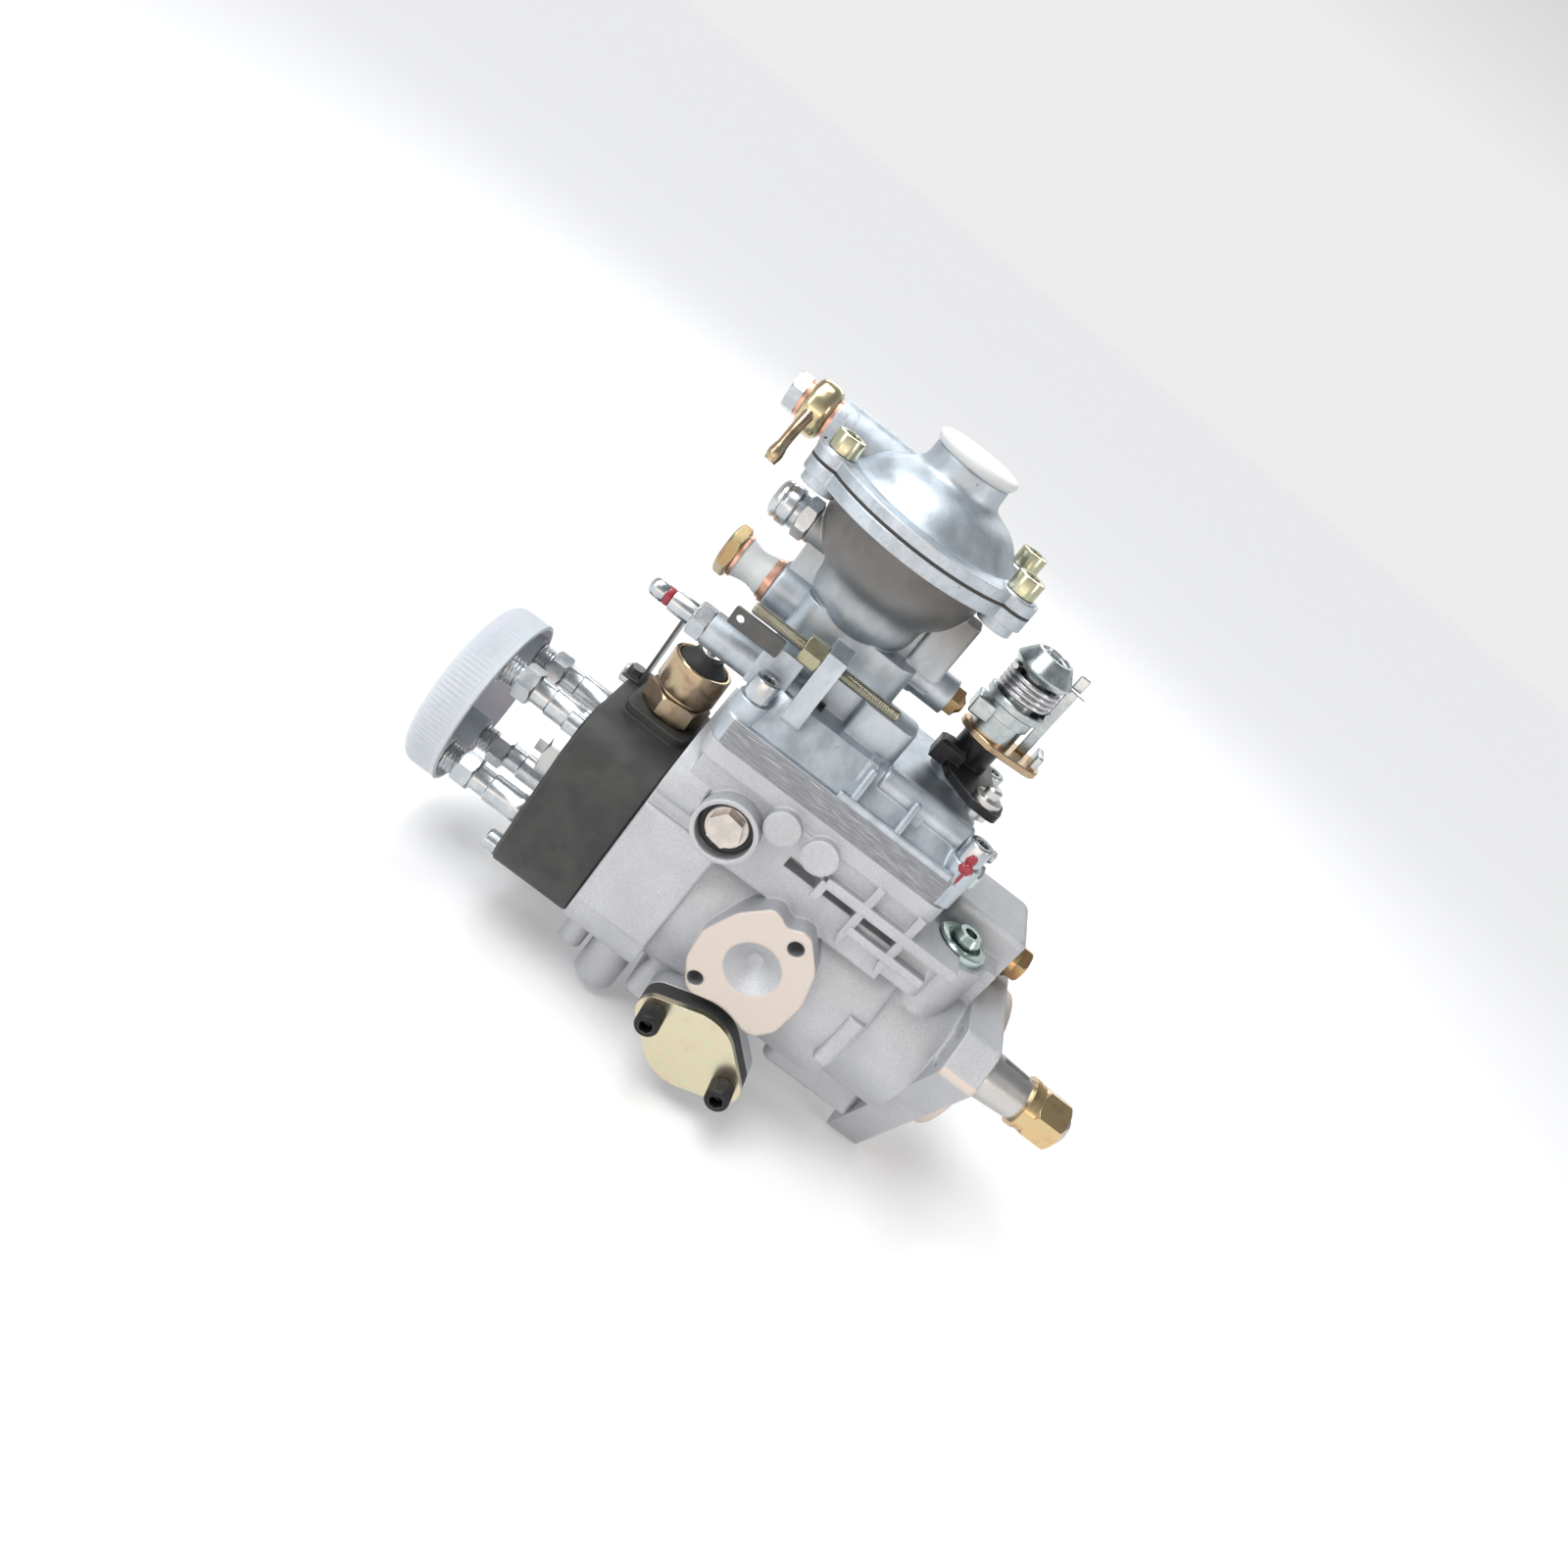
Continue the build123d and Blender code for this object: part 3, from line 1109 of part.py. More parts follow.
def washer_x(outer, inner, x0, x1, y, z):
    return cyl_x(outer, x0, x1, y, z) - cyl_x(inner, x0 - 1, x1 + 1, y, z)


def sealing_washers():
    """Copper sealing rings of the return bolt and the air pipe union."""
    hole = return_thread_radius + 0.3
    x = return_boss_end_x
    rings = [washer_x(9.6, hole, x - 1.5, x, 0, return_z), washer_x(8.8, hole, x - 3.0, x - 1.5, 0, return_z)]
    rings.append(washer_x(8.8, hole, x - 16.5, x - 15.0, 0, return_z))
    rings.append(washer_x(7.6, banjo_thread_radius + 0.3, arm_end_x - banjo_washer, arm_end_x, 0, arm_z))
    outer_x = arm_end_x - banjo_washer - 10.5
    rings.append(washer_x(7.0, banjo_thread_radius + 0.3, outer_x - banjo_washer, outer_x, 0, arm_z))
    return rings


def full_load_screw():
    """Full-load stop: slotted rounded tip, plain collar, thread through its locknut into the cover."""
    tip = full_load_tip_x
    screw = turned_x([
        (tip, 0), (tip, 2.6), (tip + 1.2, 3.7), (tip + 7.5, 4.0), (tip + 8.2, 3.2), (tip + 11.5, 3.2),
        (tip + 12.2, full_load_radius), (boost_x + 8, full_load_radius), (boost_x + 10, 2.5), (boost_x + 10, 0)],
        full_load_y, full_load_z)
    return screw - block(tip - 1, tip + 3, full_load_y - 0.6, full_load_y + 0.6, full_load_z - 6, full_load_z + 6)


def full_load_nut():
    x1 = full_load_barrel_end_x
    nut = hex_x(full_load_nut_hex, x1 - 7.0, x1, full_load_y, full_load_z, turn=8)
    return nut - cyl_x(full_load_radius, x1 - 8, x1 + 1, full_load_y, full_load_z)


def speed_nut():
    x1 = speed_lug_x - speed_lug_thick / 2
    nut = hex_x(speed_nut_hex, x1 - 8.5, x1, speed_y, speed_z, turn=5)
    return nut - cyl_x(speed_radius, x1 - 9.5, x1 + 1, speed_y, speed_z)


def speed_screw():
    screw = cyl_x(speed_radius, speed_rear_x, speed_front_x, speed_y, speed_z)
    screw = chamfer(screw.edges(), 0.5)
    return screw - block(speed_rear_x - 1, speed_rear_x + 2, speed_y - 0.4, speed_y + 0.4, speed_z - 4, speed_z + 4)


# Rubber parts: shaft lip seal and the seal ring of the distributor head
def shaft_seal():
    outer_x = pilot_height - 0.8
    return turned_x([
        (outer_x, seal_radius), (outer_x - seal_depth + 1.6, seal_radius), (outer_x - seal_depth + 1.6, seal_radius - 2.0),
        (outer_x - 2.5, seal_radius - 2.4), (outer_x - 5.0, taper_big_radius + 1.6),
        (outer_x - 3.4, taper_big_radius + running_gap), (outer_x - 1.2, taper_big_radius + 1.4),
        (outer_x - 0.2, seal_radius - 3.0), (outer_x, seal_radius - 1.0)])


def head_seal():
    groove_x = block_rear_x + head_spigot_length / 2
    ring = Pos(groove_x, 0, 0) * Rot(0, 90, 0) * Torus(cam_bore_radius - head_seal_wire, head_seal_wire)
    return ring


def timing_piston():
    """Timing piston: cross bore for the ring pin's ball, blind spring bore at its far end."""
    piston = cyl_y(timing_bore_radius - running_gap, -timing_piston_half, timing_piston_half, timing_x, timing_z)
    piston = chamfer(piston.edges().group_by(Axis.Y)[0], 1.0)
    tools = [
        cyl_z(timing_ball_bore, timing_z - timing_ball_radius - 1, timing_z + timing_bore_radius + 1, timing_x),
        cyl_y(timing_spring_bore, timing_piston_half - timing_spring_depth, timing_piston_half + 1, timing_x, timing_z),
        cyl_y(1.2, -timing_piston_half - 1, 0, timing_x, timing_z),
    ]
    for y in (-16, -12):
        tools.append(cyl_y(timing_bore_radius + 1, y, y + 1.2, timing_x, timing_z)
                     - cyl_y(timing_bore_radius - 1, y - 1, y + 2, timing_x, timing_z))
    return piston - tools


def timing_covers():
    """Outer plates of the timing device, one over the near spacer and one over the far end."""
    near_y = -timing_flange_y - timing_spacer_thick
    covers = [timing_outline(timing_shell_radius, near_y - timing_cover_thick, near_y)]
    covers.append(timing_outline(timing_shell_radius, timing_flange_y, timing_flange_y + timing_cover_thick))
    drilled = []
    for cover in covers:
        tools = [cyl_y(timing_screw_radius + 0.3, -80, 80, x, z) for x, z in timing_screw_places()]
        drilled.append(cover - tools)
    return drilled


def timing_spacer():
    near_y = -timing_flange_y - timing_spacer_thick
    body = timing_outline(timing_shell_radius, near_y, -timing_flange_y)
    tools = [cyl_y(timing_screw_radius + 0.3, -80, 0, x, z) for x, z in timing_screw_places()]
    tools.append(cyl_y(timing_bore_radius - 2, near_y - 1, -timing_flange_y + 1, timing_x, timing_z))
    return body - tools


def timing_screws():
    """Near pair through the cover and spacer, far pair through the far cover."""
    screws = []
    seats = ((-1, timing_flange_y + timing_spacer_thick + timing_cover_thick), (1, timing_flange_y + timing_cover_thick))
    for sign, seat in seats:
        for x, z in timing_screw_places():
            top = seat + timing_screw_head_height
            screw = cyl_y(timing_screw_head_radius, sign * seat, sign * top, x, z)
            screw = chamfer(screw.edges().filter_by(GeomType.CIRCLE).sort_by(Axis.Y)[0 if sign < 0 else -1], 0.5)
            screw += cyl_y(timing_screw_radius, sign * (timing_flange_y - 7), sign * seat, x, z)
            screws.append(screw - hex_y(5, sign * (top - 4.5), sign * (top + 1), x, z))
    return screws


# Pressure valve and inlet
def pressure_valve():
    """Screwed valve body: flat ring with a raised, bored hub standing in it."""
    z0 = pressure_seat_z
    body = turned_z([
        (0, pressure_foot_z), (pressure_bore_radius, pressure_foot_z), (pressure_bore_radius, z0), (pressure_ring_radius, z0),
        (pressure_ring_radius, z0 + 3.4), (pressure_ring_radius - 0.8, z0 + 4.2), (pressure_ring_inner, z0 + 4.2),
        (pressure_ring_inner, z0 + 1.4), (pressure_hub_radius, z0 + 1.4), (pressure_hub_radius, pressure_hub_top_z - 2.4),
        (pressure_hub_radius - 1.2, pressure_hub_top_z), (0, pressure_hub_top_z)], pressure_x, pressure_y)
    return body - [
        cyl_z(pressure_piston_radius + running_gap, pressure_foot_z - 1, z0 - 4, pressure_x, pressure_y),
        cyl_z(pressure_hub_hole, pressure_hub_top_z - 5, pressure_hub_top_z + 1, pressure_x, pressure_y)]


def pressure_piston():
    z0 = pressure_foot_z + 1.0
    return turned_z([
        (0, z0), (pressure_piston_radius, z0), (pressure_piston_radius, z0 + 5), (1.8, z0 + 5), (1.8, z0 + 8),
        (0, z0 + 8)], pressure_x, pressure_y)


def inlet_bolt():
    z = inlet_z
    x0 = inlet_face_x + inlet_washer_thick
    bolt = hex_x(inlet_hex, x0, x0 + 5.3, inlet_y, z, turn=10)
    bolt &= cone_x(inlet_hex * 0.5 + 4, x0 - 0.5, inlet_hex * 0.5 + 0.3, x0 + 5.3, inlet_y, z)
    bolt += cyl_x(inlet_radius, inlet_face_x - 14, x0, inlet_y, z)
    return bolt - cyl_x(2.6, inlet_face_x - 15, inlet_face_x - 2, inlet_y, z)


def inlet_washer():
    return washer_x(8.6, inlet_radius + 0.3, inlet_face_x, inlet_face_x + inlet_washer_thick, inlet_y, inlet_z)


# Vane feed pump
def feed_ring():
    x0 = feed_front_x - feed_ring_width
    ring = cyl_x(feed_ring_radius, x0, feed_front_x)
    ring -= cyl_x(feed_bore_radius, x0 - 1, feed_front_x + 1, 0, feed_offset)
    return ring - [cyl_x(1.5, x0 - 1, feed_front_x + 1, 29.5, 0), cyl_x(1.5, x0 - 1, feed_front_x + 1, -29.5, 0)]


def feed_rotor():
    x0 = feed_front_x - feed_ring_width + running_gap
    x1 = feed_front_x - running_gap
    rotor = cyl_x(feed_rotor_radius, x0, x1) - cyl_x(taper_big_radius, x0 - 1, x1 + 1)
    slots = []
    for k in range(vane_count):
        slot = block(x0 - 1, x1 + 1, vane_foot_radius - 1, feed_rotor_radius + 2, -vane_thick / 2, vane_thick / 2)
        slots.append(Rot(360 / vane_count * k, 0, 0) * slot)
    slots.append(key_block(x0 - 1, x1 + 1))
    return rotor - slots


def feed_vanes():
    """Flat vanes standing in the rotor's slots, short enough to clear the ring at its near side."""
    x0 = feed_front_x - feed_ring_width + running_gap
    x1 = feed_front_x - running_gap
    tip = feed_bore_radius - feed_offset - running_gap
    vanes = []
    for k in range(vane_count):
        vane = block(x0, x1, vane_foot_radius, tip, -vane_thick / 2 + 0.05, vane_thick / 2 - 0.05)
        vane = fillet(vane.edges().filter_by(Axis.X).group_by(Axis.Y)[-1], 1.2)
        vanes.append(Rot(360 / vane_count * k, 0, 0) * vane)
    return vanes


def key_block(x0, x1):
    """Space of the driving key between the shaft and the feed rotor."""
    return block(x0, x1, -key_width / 2, key_width / 2, 0, taper_big_radius + key_rise)


def feed_plate():
    x1 = feed_front_x - feed_ring_width
    x0 = x1 - feed_plate_thick
    plate = cyl_x(feed_ring_radius, x0, x1) - cyl_x(taper_big_radius + running_gap, x0 - 1, x1 + 1)
    tools = [cyl_x(1.6, x0 - 1, x1 + 1, y, 0) for y in (-29.5, 29.5)]
    for k in range(2):
        groove = cyl_x(20.5, x1 - 1.5, x1 + 1) - cyl_x(16.5, x1 - 2, x1 + 2) - block(x1 - 3, x1 + 3, -40, 40, -9, 9)
        tools.append(groove)
    return plate - tools[:3]


# Drive shaft with its claws, and the parts that turn with it
def drive_shaft():
    body = turned_x([
        (shaft_end_x, 0), (shaft_end_x, thread_radius - 1), (shaft_end_x - 1.2, thread_radius),
        (taper_end_x, thread_radius), (taper_end_x, taper_small_radius), (taper_start_x, taper_big_radius),
        (yoke_front_x, taper_big_radius), (yoke_front_x, gear_seat_radius), (yoke_start_x, gear_seat_radius),
        (yoke_start_x, yoke_radius), (claw_front_x, yoke_radius), (claw_front_x, 0)])
    body += claws(claw_front_x - claw_length, claw_front_x, 90)
    tools = [block(taper_start_x + 3, taper_end_x - 3, -keyway_width / 2, keyway_width / 2,
                   taper_small_radius + 0.6 - keyway_depth, taper_big_radius + 2)]
    # key of the feed rotor
    body += block(feed_front_x - feed_ring_width + 1.5, feed_front_x - 1.5, -key_width / 2 + running_gap,
                  key_width / 2 - running_gap, taper_big_radius - 1, taper_big_radius + key_rise - free_gap)
    return body - tools


def claws(x0, x1, start):
    """Two facing driving claws, each a sector of a ring."""
    ring = cyl_x(yoke_radius, x0, x1) - cyl_x(claw_inner_radius, x0 - 1, x1 + 1)
    reach = yoke_radius * 2
    half = math.radians(claw_sector / 2)
    wedge = plate_x([(0, 0), (reach * math.cos(half), reach * math.sin(half)),
                     (reach * 1.5, 0), (reach * math.cos(half), -reach * math.sin(half))], x0 - 1, x1 + 1)
    both = Rot(start, 0, 0) * wedge + Rot(start + 180, 0, 0) * wedge
    return ring & both


def shaft_nut():
    x0 = taper_end_x + washer_thick + spring_washer_thick
    nut = hex_x(nut_across_flats, x0, x0 + nut_thick, turn=6)
    nut &= turned_x([
        (x0, 0), (x0, nut_across_flats * 0.52), (x0 + 1.6, nut_across_flats * 0.585),
        (x0 + nut_thick - 1.8, nut_across_flats * 0.585), (x0 + nut_thick, nut_across_flats * 0.51), (x0 + nut_thick, 0)])
    return nut - cyl_x(thread_radius, x0 - 1, x0 + nut_thick + 1)


def shaft_washers():
    """Flat washer and split spring washer under the shaft nut."""
    hole = thread_radius + free_gap
    flat = washer_x(washer_radius, hole, taper_end_x, taper_end_x + washer_thick, 0, 0)
    x1 = taper_end_x + washer_thick
    spring = washer_x(washer_radius - 0.6, hole, x1, x1 + spring_washer_thick, 0, 0)
    split = Rot(200, 0, 0) * block(x1 - 1, x1 + spring_washer_thick + 1, -0.8, 0.8, 0, washer_radius + 2)
    return [flat, spring - split]


# Governor gears, cut with involute flanks
def involute(angle):
    return math.tan(angle) - angle


def gear_face(teeth, backlash):
    """Outline of a spur gear in its own plane, a tooth on the first axis."""
    pitch_r = gear_module * teeth / 2
    base_r = pitch_r * math.cos(pressure_angle)
    tip_r = pitch_r + gear_module
    root_r = pitch_r - 1.25 * gear_module
    start_r = max(base_r + 0.02, root_r + 0.1)
    half_pitch = math.pi / (2 * teeth) - backlash / (2 * pitch_r)

    def half_angle(radius):
        return half_pitch + involute(pressure_angle) - involute(math.acos(base_r / radius))

    def at(radius, angle):
        return (radius * math.cos(angle), radius * math.sin(angle))

    edges = []
    middle_r = (start_r + tip_r) / 2
    for k in range(teeth):
        mid = 2 * math.pi * k / teeth
        following = 2 * math.pi * (k + 1) / teeth
        low = half_angle(start_r)
        edges.append(Line(at(root_r, mid - low), at(start_r, mid - low)))
        edges.append(ThreePointArc(at(start_r, mid - low), at(middle_r, mid - half_angle(middle_r)),
                                   at(tip_r, mid - half_angle(tip_r))))
        edges.append(Line(at(tip_r, mid - half_angle(tip_r)), at(tip_r, mid + half_angle(tip_r))))
        edges.append(ThreePointArc(at(tip_r, mid + half_angle(tip_r)), at(middle_r, mid + half_angle(middle_r)),
                                   at(start_r, mid + low)))
        edges.append(Line(at(start_r, mid + low), at(root_r, mid + low)))
        edges.append(Line(at(root_r, mid + low), at(root_r, following - low)))
    return make_face(Wire(edges))


def drive_gear():
    """Gear on the shaft, with its damper pockets round the seat."""
    x0 = gear_front_x - gear_width
    gear = Pos(x0, 0, 0) * extrude(Plane.YZ * (Rot(0, 0, 90) * gear_face(drive_teeth, gear_backlash)), gear_width)
    tools = [cyl_x(gear_seat_radius, x0 - 1, gear_front_x + 1)]
    for k in range(4):
        y = 21.5 * math.cos(math.radians(45 + 90 * k))
        z = 21.5 * math.sin(math.radians(45 + 90 * k))
        tools.append(cyl_x(3.6, x0 - 1, gear_front_x + 1, y, z))
    return gear - tools


def flyweight_carrier():
    """Governor gear with the cage that carries the four flyweights."""
    x0 = gear_front_x - gear_width
    # the tooth space faces the drive gear below
    turn = 90 + 180.0 / governor_teeth
    face = Rot(0, 0, turn) * gear_face(governor_teeth, gear_backlash)
    body = Pos(x0, 0, governor_axis_z) * extrude(Plane.YZ * face, gear_width)
    cage_rear = cage_front_x - cage_length
    body += cyl_x(cage_radius, cage_front_x, x0, 0, governor_axis_z)
    cage = cyl_x(cage_radius, cage_rear, cage_front_x + 0.5, 0, governor_axis_z)
    cage -= cyl_x(cage_radius - cage_wall, cage_rear - 1, cage_front_x, 0, governor_axis_z)
    body += cage
    tools = [cyl_x(governor_pin_radius + running_gap, cage_rear - 1, gear_front_x + 1, 0, governor_axis_z)]
    lugs = []
    for k in range(flyweight_count):
        place = Pos(0, 0, governor_axis_z) * Rot(90 * k, 0, 0)
        window = block(cage_rear - 1, cage_front_x, -flyweight_half - 0.7, flyweight_half + 0.7, 0, cage_radius + 2)
        tools.append(place * window)
        for sign in (-1, 1):
            y0 = sign * (flyweight_half + 0.5)
            y1 = sign * (flyweight_half + 2.6)
            lug = block(hinge_x - 1.8, cage_front_x + 0.5, y0, y1, hinge_radius - 2.0, hinge_radius + 1.8)
            lugs.append(place * lug)
        lugs.append(place * cyl_y(hinge_pin_radius, -flyweight_half - 2.6, flyweight_half + 2.6, hinge_x, hinge_radius))
    body -= tools
    return body + lugs


def flyweight(k):
    """Bent weight: heavy body along the cage, toe reaching in to push the sleeve."""
    toe_front = hinge_x + 1.4
    toe_rear = hinge_x - 1.35
    outline = [
        (toe_front, toe_reach), (toe_front, hinge_radius + 0.9), (hinge_x - 0.6, flyweight_outer - 0.2),
        (hinge_x - flyweight_length, flyweight_outer - 0.2), (hinge_x - flyweight_length - 1, flyweight_outer - 1.4),
        (hinge_x - flyweight_length - 1, flyweight_inner + 0.6), (hinge_x - flyweight_length + 0.6, flyweight_inner),
        (toe_rear - 2.2, flyweight_inner), (toe_rear, flyweight_inner + 1.6), (toe_rear, toe_reach)]
    weight = plate_y(outline, -flyweight_half, flyweight_half)
    # outer corners bevelled to follow the cage
    weight &= plate_x([(-flyweight_half, 0), (flyweight_half, 0), (flyweight_half, flyweight_outer - 1.8),
                       (flyweight_half - 3, flyweight_outer), (3 - flyweight_half, flyweight_outer),
                       (-flyweight_half, flyweight_outer - 1.8)], hinge_x - flyweight_length - 2, cage_front_x)
    # the toe is narrower than the body
    for sign in (-1, 1):
        weight -= block(toe_rear - 1, toe_front + 1, sign * 4.0, sign * (flyweight_half + 1), 0, flyweight_inner)
    weight -= cyl_y(hinge_pin_radius + running_gap, -flyweight_half - 1, flyweight_half + 1, hinge_x, hinge_radius)
    return Pos(0, 0, governor_axis_z) * Rot(90 * k, 0, 0) * weight


def governor_shaft():
    pin = cyl_x(governor_pin_radius, governor_pin_end_x, -48, 0, governor_axis_z)
    return chamfer(pin.edges().sort_by(Axis.X)[0], 0.8)


def governor_sleeve():
    """Flanged sleeve that slides on the pin and ends in a rounded nose."""
    x = sleeve_front_x
    outer = turned_x([
        (x, 0), (x, sleeve_flange_radius), (x - 1.6, sleeve_flange_radius), (x - 2.4, sleeve_outer),
        (x - sleeve_length + 7, sleeve_outer), (x - sleeve_length + 5, sleeve_outer - 0.6),
        (x - sleeve_length + 2, 4.2), (x - sleeve_length + 0.5, 2.2), (x - sleeve_length, 0)], 0, governor_axis_z)
    return outer - cyl_x(governor_pin_radius + running_gap, governor_pin_end_x - sleeve_travel - 0.8, x + 1, 0, governor_axis_z)


def governor_lever():
    """Lever from the sleeve's nose down to the spill collar, turning on its pin."""
    face_x = sleeve_front_x - sleeve_length - free_gap
    outline = [
        (face_x, governor_axis_z + 16), (face_x, governor_axis_z - 6), (collar_x + 6.0, lever_pivot_z - 4.5),
        (collar_x + 2.6, lever_pivot_z - 7.0), (collar_x + 2.6, collar_radius + 2.4),
        (collar_x - 2.6, collar_radius + 2.4), (collar_x - 2.6, lever_pivot_z - 7), (collar_x - 5.6, lever_pivot_z + 2),
        (face_x - 4.5, governor_axis_z - 2), (face_x - 4.5, governor_axis_z + 16)]
    lever = plate_y(outline, -5, 5)
    lever += cyl_y(6.5, -7, 7, collar_x, lever_pivot_z)
    ball_z = collar_radius - 2.2
    lever += cyl_z(1.5, ball_z, collar_radius + 3, collar_x)
    lever += Pos(collar_x, 0, ball_z) * Sphere(lever_ball_radius)
    return lever + cyl_y(lever_pin_radius, -chamber_half - 3, chamber_half + 3, collar_x, lever_pivot_z)


# Cam plate, roller ring and plunger
def cam_plate():
    """Face cam with four rounded lobes, driven by two claws and turning the plunger."""
    base_x = cam_peak_x - cam_lift
    lobe_half = 13.0
    arc_radius = (lobe_half ** 2 + cam_lift ** 2) / (2 * cam_lift)
    plate = cyl_x(cam_outer, base_x - cam_plate_thick, base_x)
    ring = cyl_x(cam_outer, base_x - 1, cam_peak_x + 1) - cyl_x(cam_inner, base_x - 2, cam_peak_x + 2)
    for k in range(roller_count):
        lobe = cyl_z(arc_radius, 0, cam_outer + 2, cam_peak_x - arc_radius, 0)
        lobe &= block(base_x - 0.6, cam_peak_x + 1, -lobe_half - 1, lobe_half + 1, 0, cam_outer + 3)
        plate += ring & (Rot(45 + 90 * k, 0, 0) * lobe)
    plate += claws(base_x - 0.5, claw_front_x - free_gap, 0)
    plate += turned_x([
        (base_x - cam_plate_thick + 0.5, 0), (base_x - cam_plate_thick + 0.5, 14), (base_x - cam_plate_thick, 14),
        (base_x - cam_plate_thick - 2.0, 12.5), (base_x - cam_plate_thick - 2.0, 0)])
    pin = cyl_x(1.5, base_x - cam_plate_thick - 4, base_x - cam_plate_thick, 0, 7.0)
    return plate + pin


def roller_ring():
    ring = cyl_x(ring_outer, ring_front_x - ring_width, ring_front_x)
    tools = [cyl_x(ring_inner, ring_front_x - ring_width - 1, ring_front_x + 1)]
    for k in range(roller_count):
        slot = cyl_z(roller_radius + running_gap, ring_inner - 1, roller_far_radius + 0.1, roller_x)
        tools.append(Rot(45 + 90 * k, 0, 0) * slot)
    ring -= tools
    ring += cyl_z(timing_pin_radius, timing_z, -ring_inner - 2, timing_x)
    ring += Pos(timing_x, 0, timing_z) * Sphere(timing_ball_radius)
    return ring


def cam_rollers():
    rollers = []
    for k in range(roller_count):
        roller = cyl_z(roller_radius, roller_far_radius - roller_length, roller_far_radius, roller_x)
        rollers.append(Rot(45 + 90 * k, 0, 0) * chamfer(roller.edges(), 0.4))
    return rollers


def plunger():
    """Distributor plunger: foot held by the cam plate, axial bore, spill port and outlet groove."""
    foot_x = cam_peak_x - cam_lift - cam_plate_thick - 2.0
    body = turned_x([
        (foot_x, 0), (foot_x, 9.0), (foot_x - 3.0, 9.0), (foot_x - 3.0, plunger_radius), (plunger_end_x, plunger_radius),
        (plunger_end_x, 0)])
    slots = [cyl_x(1.5, plunger_end_x - 1, collar_x + 1.2), cyl_y(1.2, -plunger_radius - 1, plunger_radius + 1, collar_x, 0)]
    slots.append(cyl_x(1.5 + running_gap, foot_x - 4, foot_x + 1, 0, 7.0))
    for k in range(4):
        slots.append(Rot(90 * k, 0, 0) * block(plunger_end_x - 1, plunger_end_x + 8, -0.8, 0.8, plunger_radius - 1, 9))
    return body - slots


def spill_collar():
    half = collar_width / 2
    collar = cyl_x(collar_radius, collar_x - half, collar_x + half)
    collar = chamfer(collar.edges(), 0.6)
    ball_z = collar_radius - 2.2
    socket = cyl_z(lever_ball_radius + free_gap, ball_z - lever_ball_radius - free_gap, collar_radius + 1, collar_x)
    return collar - [cyl_x(plunger_radius + running_gap, collar_x - half - 1, collar_x + half + 1), socket]


def spring_bridge():
    """Yoke on the plunger foot that the two return springs push against."""
    x0 = bridge_x - 2.0
    face = SlotOverall((spring_y + 6) * 2, 14)
    bridge = Pos(x0, 0, 0) * extrude(Plane.YZ * face, 2.0)
    bridge += cyl_x(10.5, x0, bridge_x + 4.0) - cyl_x(9.4, x0 + 1, bridge_x + 5.0)
    tools = [cyl_x(plunger_radius + free_gap, x0 - 1, bridge_x + 5)]
    for sign in (-1, 1):
        tools.append(cyl_x(spring_pin_radius + free_gap, x0 - 1, bridge_x + 5, sign * spring_y))
    return bridge - tools


def coil_x(radius, wire, x0, x1, turns, y=0.0, z=0.0):
    return Pos(x0, y, z) * Rot(0, 90, 0) * coil_z(radius, wire, 0, x1 - x0, turns)


def spring_pins():
    pins = []
    for sign in (-1, 1):
        pins.append(cyl_x(spring_pin_radius, block_rear_x - 4, bridge_x + 4, sign * spring_y))
    return pins


def plunger_springs():
    springs = []
    for sign in (-1, 1):
        springs.append(coil_x(5.4, 0.9, block_rear_x + head_spigot_length, bridge_x - 2.0, 9, sign * spring_y))
    return springs


def timing_spring():
    y0 = timing_piston_half - timing_spring_depth + timing_travel + free_gap
    coil = coil_z(timing_spring_bore - 1.0, 1.0, 0, timing_flange_y - y0, 6)
    return Pos(timing_x, y0, timing_z) * Rot(-90, 0, 0) * coil


def boost_spring():
    z0 = 128.0
    return coil_z(boost_bowl_radius - 7, 1.1, z0, boost_split_z + diaphragm_thick - 3.2, 7, boost_x)


def pressure_spring():
    return coil_z(3.4, 0.5, pressure_foot_z + 6 + pressure_travel, pressure_seat_z - 4, 3, pressure_x, pressure_y)


# Control lever on its upright shaft, with the two torsion coils and the cap
def control_shaft():
    top_z = coil_top_z + control_cap_height
    body = cyl_z(control_radius, crank_z, top_z - 3, control_x, control_y)
    body += cyl_z(6.0, crank_z, crank_z + 4, control_x, control_y)
    body += cyl_z(6.0, crank_z, crank_z + 4, control_x - 4, control_y - 2)
    body += cyl_z(1.8, crank_z - 6, crank_z + 1, control_x - 6, control_y - 3)
    return body


def control_lever():
    """Black plate lever clamped on the shaft, with a stop block and a ball stud at its near end."""
    x, y = control_x, control_y
    outline = [(x - 11, y + 9), (x - 12, y - 6), (x - 6, y - 24), (x + 6, y - 34), (x + 18, y - 34), (x + 19, y - 22),
               (x + 13, y - 6), (x + 11, y + 9), (x, y + 13)]
    plate = plate_z(outline, lever_z, lever_z + lever_thick, [4, 5, 5, 4, 4, 4, 5, 4, 5])
    plate += cyl_z(8.5, lever_z, lever_z + 13.0, x, y)
    block_up = block(x - 15, x - 3, y - 16, y - 6, lever_z, lever_z + 9.0)
    plate += chamfer(block_up.edges().group_by(Axis.Z)[-1], 1.5)
    # stop tab on the far side
    plate += block(x - 5, x + 5, y + 9, y + 19, lever_z, lever_z + lever_thick)
    plate += block(x - 5, x + 5, y + 16.5, y + 19, lever_z, lever_z + 10)
    tools = [cyl_z(control_radius, lever_z - 1, lever_z + 14, x, y)]
    tools.append(cyl_z(stud_radius, lever_z - 1, lever_z + lever_thick + 1, stud_x, stud_y))
    return plate - tools


